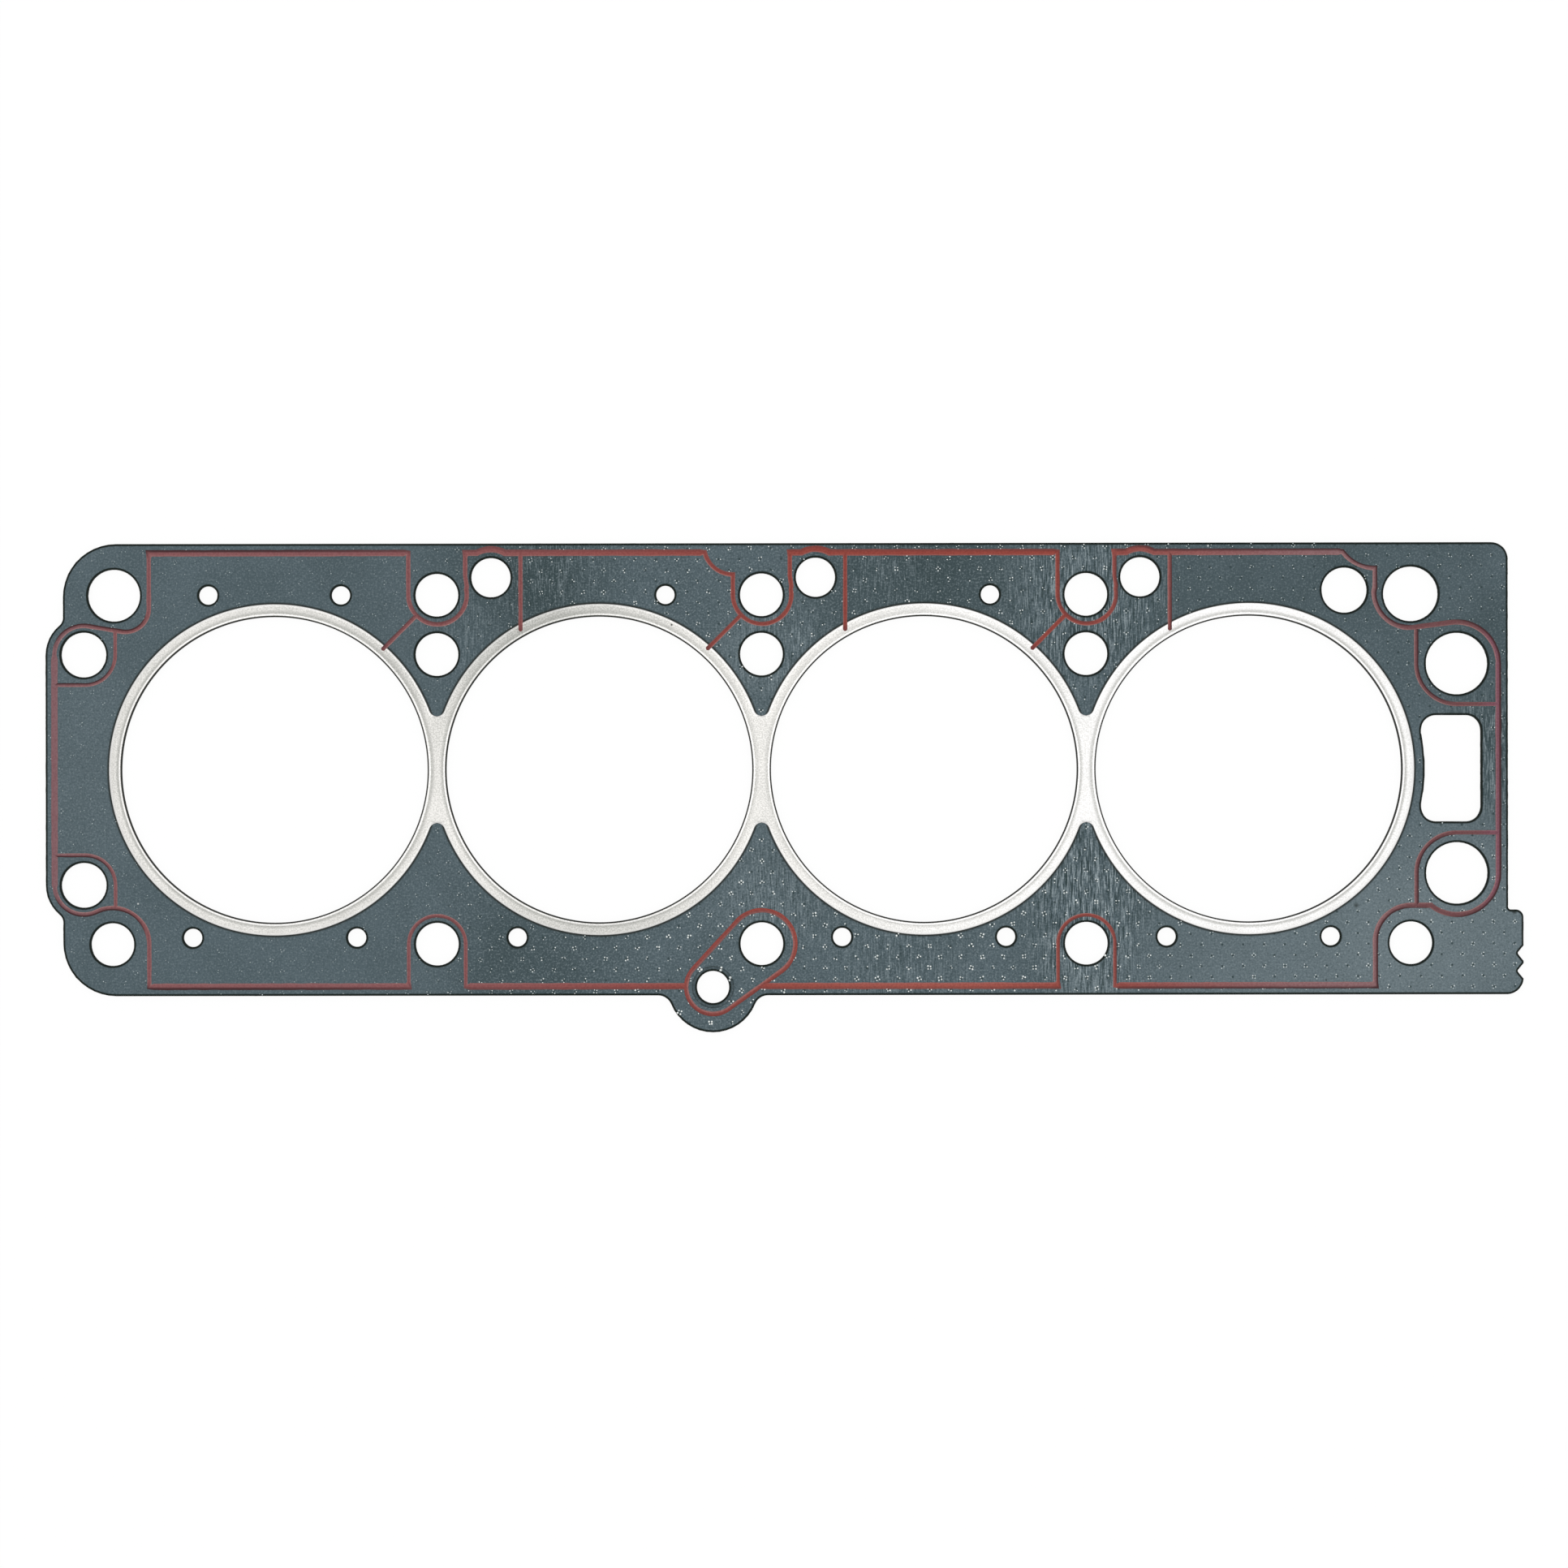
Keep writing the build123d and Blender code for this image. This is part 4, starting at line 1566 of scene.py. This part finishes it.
    def _sweep(
        self, draft: MeshDraft, route: Route, closed: bool = False, blunt: bool = True, vein: float = 0.0
    ) -> None:
        """Add a crowned ribbon along a route.

        Args:
            draft: The bead's draft.
            route: X, Y and width at each point.
            closed: Whether the ribbon is a loop.
            blunt: Whether its end is cut off square inside another run, and not rounded.
            vein: How strongly a dark line shows along its middle.
        """
        rings = []
        for i, (x, y, width) in enumerate(route):
            mean, stretch = self._heading(route, i, closed)
            side = Vector((-mean.y, mean.x))
            to_end = math.inf if closed or blunt else math.hypot(route[-1][0] - x, route[-1][1] - y)
            half = width / 2 * (1 + self.waver * noise.noise(Vector((x, y, 3.7)) * 0.35))
            half *= max(self.end_share, math.sqrt(1 - (1 - min(1.0, to_end / half)) ** 2))
            across = side * half * stretch
            rise_share = min(1.0, half / (width / 2) + 0.25)
            # The flank that faces away from the middle takes painted shade, and the flank that faces the
            # middle takes painted highlight.
            outward = Vector((max(0.0, x) * 0.55, y)).normalized()
            fade = 0.3 + 0.7 * ease(abs(x), *self.shade_along)
            slim = 1 - ease(width, *self.slim)
            end_dark = 1 - ease(to_end, *self.dark_end)
            middle_dark = max(vein, self.slim_vein * slim)
            ring = []
            for place, rise in self.section:
                px, py = x + across.x * place, y + across.y * place
                lift = self._base(px, py) + self.layout.bead_height * rise * rise_share
                lean = place * side.dot(outward)
                # Painted highlight on the flank that faces the middle, and on the inner side of the oil
                # loop.
                highlight_flank = ease(abs(place), 0.5, 0.9) * (0.45 + 0.55 * ease(-lean, 0.1, 0.6))
                marks = {
                    "highlight_flank": ease(place, 0.1, 0.75) if closed else highlight_flank * (0.7 + 1.1 * slim),
                    "vein": max(end_dark, middle_dark * (1 - ease(abs(place), 0.05, 0.5))),
                    # Painted shade on the outer flank, stronger towards the ends.
                    "shaded_flank": fade * ease(lean, 0.08 - 0.1 * ease(x, 165, 180), 0.48),
                }
                level = self.layout.face(self.side) + self.side.value * lift
                ring.append(draft.point(px, py, level, **marks))
            rings.append(ring)
        for first, second in zip(rings, rings[1:] + (rings[:1] if closed else [])):
            draft.band(first, second, True)
        if not closed:
            draft.face(*rings[0])
            draft.face(*rings[-1])


# Tangs


@dataclass
class TangTips:
    """Tips of the core's tangs that show in a facing, in staggered rows."""

    layout: Layout
    side: Side
    name: str
    seed: int = 11
    tangs: TangRows = TangRows()
    rows: int = 24
    columns: int = 38
    jitter: float = 0.08
    weakest: float = 0.12
    armour_gap: float = 0.7
    edge_gap: float = 0.9
    ray_start: float = 10.0
    tip_radius: float = 0.4
    tip_corners: int = 5
    tips: int = 4
    square: float = 0.58
    height: float = 0.05
    root: float = 0.02
    least: float = 0.2
    chance: float = 0.42
    low_edge: Point = (-35.0, -10.0)
    front_fade: Point = (-110.0, -10.0)
    rear_fade: Point = (95.0, 130.0)
    rear_low: Point = (110.0, 150.0)

    def build(self, facing: bpy.types.Object, finish: bpy.types.Material) -> bpy.types.Object:
        """Make the tips that stand clear of a facing's edges.

        Args:
            facing: The facing sheet.
            finish: The tips' material.

        Returns:
            The piece.
        """
        draft = MeshDraft(self.name)
        dice = Random(self.seed)
        turn = Matrix.Rotation(math.radians(self.tangs.lean), 2)
        pitch, origin, jitter = self.tangs.pitch, self.tangs.origin, self.jitter
        for row in range(-self.rows, self.rows + 1):
            for column in range(-self.columns, self.columns + 1):
                shift = 0.5 if row % 2 else 0.0
                place = turn @ Vector(((column + shift) * pitch[0], row * pitch[1]))
                x = place.x + origin[0] + dice.uniform(-jitter, jitter)
                y = place.y + origin[1] + dice.uniform(-jitter, jitter)
                strength = self._strength(x, y, dice)
                if strength > self.weakest and self._clear(facing, x, y):
                    self._site(draft, x, y, strength, dice)
        return draft.build(finish, Slot.CORE)

    def _clear(self, facing: bpy.types.Object, x: float, y: float) -> bool:
        """Look down on the facing round a place.

        Args:
            facing: The facing sheet.
            x: The place along the row of bores.
            y: The place across it.

        Returns:
            Whether there is facing under the place on all sides, and no armour near it.
        """
        if self.layout.reach(x, y) < self.layout.flange_radius + self.armour_gap:
            return False
        down = Vector((0, 0, -self.side.value))
        for dx, dy in [(0.0, 0.0)] + [polar((0, 0), self.edge_gap, angle) for angle in range(0, 360, 60)]:
            start = Vector(((x + dx) * MM, (y + dy) * MM, self.ray_start * MM * self.side.value))
            if not facing.ray_cast(start, down)[0]:
                return False
        return True

    def _strength(self, x: float, y: float, dice: Random) -> float:
        """Choose how far the tips come through, which is most in the lower middle of the gasket.

        Args:
            x: The place along the row of bores.
            y: The place across it.
            dice: The piece's random numbers.

        Returns:
            The strength, up to 1.
        """
        low = 1 - ease(y, *self.low_edge)
        middle = ease(x, *self.front_fade) * (1 - 0.7 * ease(x, *self.rear_fade)) * (0.5 + 0.5 * low)
        share = self.least + 0.8 * middle + 0.25 * low * ease(x, *self.rear_low)
        return share * dice.uniform(0.55, 1.0)

    def _site(self, draft: MeshDraft, x: float, y: float, strength: float, dice: Random) -> None:
        """Add the tips round one pierced hole.

        Args:
            draft: The tips' draft.
            x: The hole's place along the row of bores.
            y: Its place across it.
            strength: How far the tips come through.
            dice: The piece's random numbers.
        """
        face, up, corners = self.layout.face(self.side), self.side.value, self.tip_corners
        start = dice.uniform(0, 90)
        for i in range(self.tips):
            if dice.random() > self.chance * (1 + strength):
                continue
            px, py = polar((x, y), self.square * dice.uniform(0.7, 1.1), start + 360 / self.tips * i)
            size = self.tip_radius * (0.5 + 0.5 * strength) * dice.uniform(0.65, 1.1)
            spin = dice.uniform(0, 120)
            around = [polar((px, py), size, spin + 360 / corners * k) for k in range(corners)]
            foot = [draft.point(fx, fy, face - self.root * up) for fx, fy in around]
            top = draft.point(px, py, face + up * self.height * (0.5 + 0.5 * strength))
            for k in range(corners):
                draft.face(foot[k], foot[(k + 1) % corners], top)
            draft.face(*reversed(foot))


# Stage


@dataclass
class Stage:
    """White floor, soft lamps and the camera over the gasket. The lamp's sizes are in metres."""

    centre: Point = (6.41, -4.24)
    view_width: float = 449.8
    height: float = 1200.0
    sensor: float = 36.0
    roll: float = -0.083
    sight: float = 20.0
    floor_size: float = 4000.0
    floor_paint: float = 0.85
    floor_glow: float = 1.04
    glow_share: float = 0.88
    lamp_size: Point = (1.1, 0.8)
    lamp_power: float = 3.6
    lamp_place: tuple[float, float, float] = (0.0, 0.15, 1.6)
    lamp_tilt: float = -5.0
    sky_strength: float = 0.75

    def build(self) -> None:
        """Set up everything round the gasket."""
        self._floor()
        self._lamps()
        self._camera()
        bpy.context.scene.view_settings.view_transform = "Standard"

    @staticmethod
    def _grey(level: float) -> Colour:
        """Return a neutral colour."""
        return (level, level, level, 1.0)

    def _floor(self) -> None:
        """Add the floor, white to the camera but for the gasket's soft shadow."""
        mesh = bpy.data.meshes.new("floor")
        half = self.floor_size / 2 * MM
        outline = [(-half, -half, 0), (half, -half, 0), (half, half, 0), (-half, half, 0)]
        mesh.from_pydata(outline, [], [(0, 1, 2, 3)])
        kit = NodeKit("white_floor")
        paint = kit.node("ShaderNodeBsdfDiffuse", None, {"Color": self._grey(self.floor_paint)})
        light = {"Color": self._grey(1.0), "Strength": self.floor_glow}
        glow = kit.node("ShaderNodeEmission", None, light)
        path = ("Is Camera Ray", "Is Glossy Ray", "Is Transmission Ray")
        seen = [kit.node("ShaderNodeLightPath", None, None, name) for name in path]
        factor = (seen[0] + seen[1] + seen[2]) * self.glow_share
        kit.show(kit.node("ShaderNodeMixShader", None, {0: factor, 1: paint, 2: glow}))
        mesh.materials.append(kit.material)
        floor = bpy.data.objects.new("floor", mesh)
        bpy.context.scene.collection.objects.link(floor)
        floor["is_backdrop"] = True

    def _lamps(self) -> None:
        """Add a broad lamp overhead and an even sky."""
        light = bpy.data.lights.new("overhead", "AREA")
        light.shape = "RECTANGLE"
        light.size, light.size_y = self.lamp_size
        light.energy = self.lamp_power
        lamp = bpy.data.objects.new("overhead", light)
        lamp.location = self.lamp_place
        lamp.rotation_euler = (math.radians(self.lamp_tilt), 0, 0)
        bpy.context.scene.collection.objects.link(lamp)
        world = bpy.data.worlds.new("sky")
        world.use_nodes = True
        sky = world.node_tree.nodes["Background"]
        sky.inputs["Color"].default_value = self._grey(1.0)
        sky.inputs["Strength"].default_value = self.sky_strength
        bpy.context.scene.world = world

    def _camera(self) -> None:
        """Add the camera, looking straight down."""
        data = bpy.data.cameras.new("overhead_camera")
        data.sensor_width = self.sensor
        data.lens = self.sensor * self.height / self.view_width
        data.clip_end = self.sight
        camera = bpy.data.objects.new("overhead_camera", data)
        camera.location = (self.centre[0] * MM, self.centre[1] * MM, self.height * MM)
        camera.rotation_euler = (0, 0, math.radians(self.roll))
        bpy.context.scene.collection.objects.link(camera)
        bpy.context.scene.camera = camera


def dress_core() -> None:
    """Give the core, which shows only at its cut edges, its finish."""
    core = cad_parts["steel_core"]
    finish = CoreFinish().build()
    if not core.material_slots:
        core.data.materials.append(finish)
    for slot in core.material_slots:
        slot.material = finish
    LOG.info("steel_core: dressed")


def corners(box: Iterable[Iterable[float]]) -> list[list[float]]:
    """Return a box's two corners as plain lists."""
    return [[float(value) for value in corner] for corner in box]


def main() -> None:
    """Build the gasket's pieces in order, then the stage, and work out both boxes."""
    logging.basicConfig(level=logging.INFO, format="%(name)s: %(message)s")
    cad_box = corners(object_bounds())
    layout = Layout()
    slate, tip, silicone = FacingFinish().build(), TipFinish().build(), BeadFinish().build()
    upper_sheet = Facing(layout, Side.HEAD, "facing_sheet_upper", "facing_upper").build(slate)
    lower_sheet = Facing(layout, Side.BLOCK, "facing_sheet_lower", "facing_lower", seed=7.3).build(slate)
    dress_core()
    BoreArmour(layout).build()
    SealingBead(layout, Side.HEAD, "bead_upper", "sealing_bead_upper").build(silicone)
    SealingBead(layout, Side.BLOCK, "bead_lower", "sealing_bead_lower").build(silicone)
    bpy.context.view_layer.update()
    TangTips(layout, Side.HEAD, "tang_tips_upper").build(upper_sheet, tip)
    TangTips(layout, Side.BLOCK, "tang_tips_lower", seed=23).build(lower_sheet, tip)
    Stage().build()
    {"cad": cad_box, "visual": corners(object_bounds())}


if __name__ == "__main__":
    main()
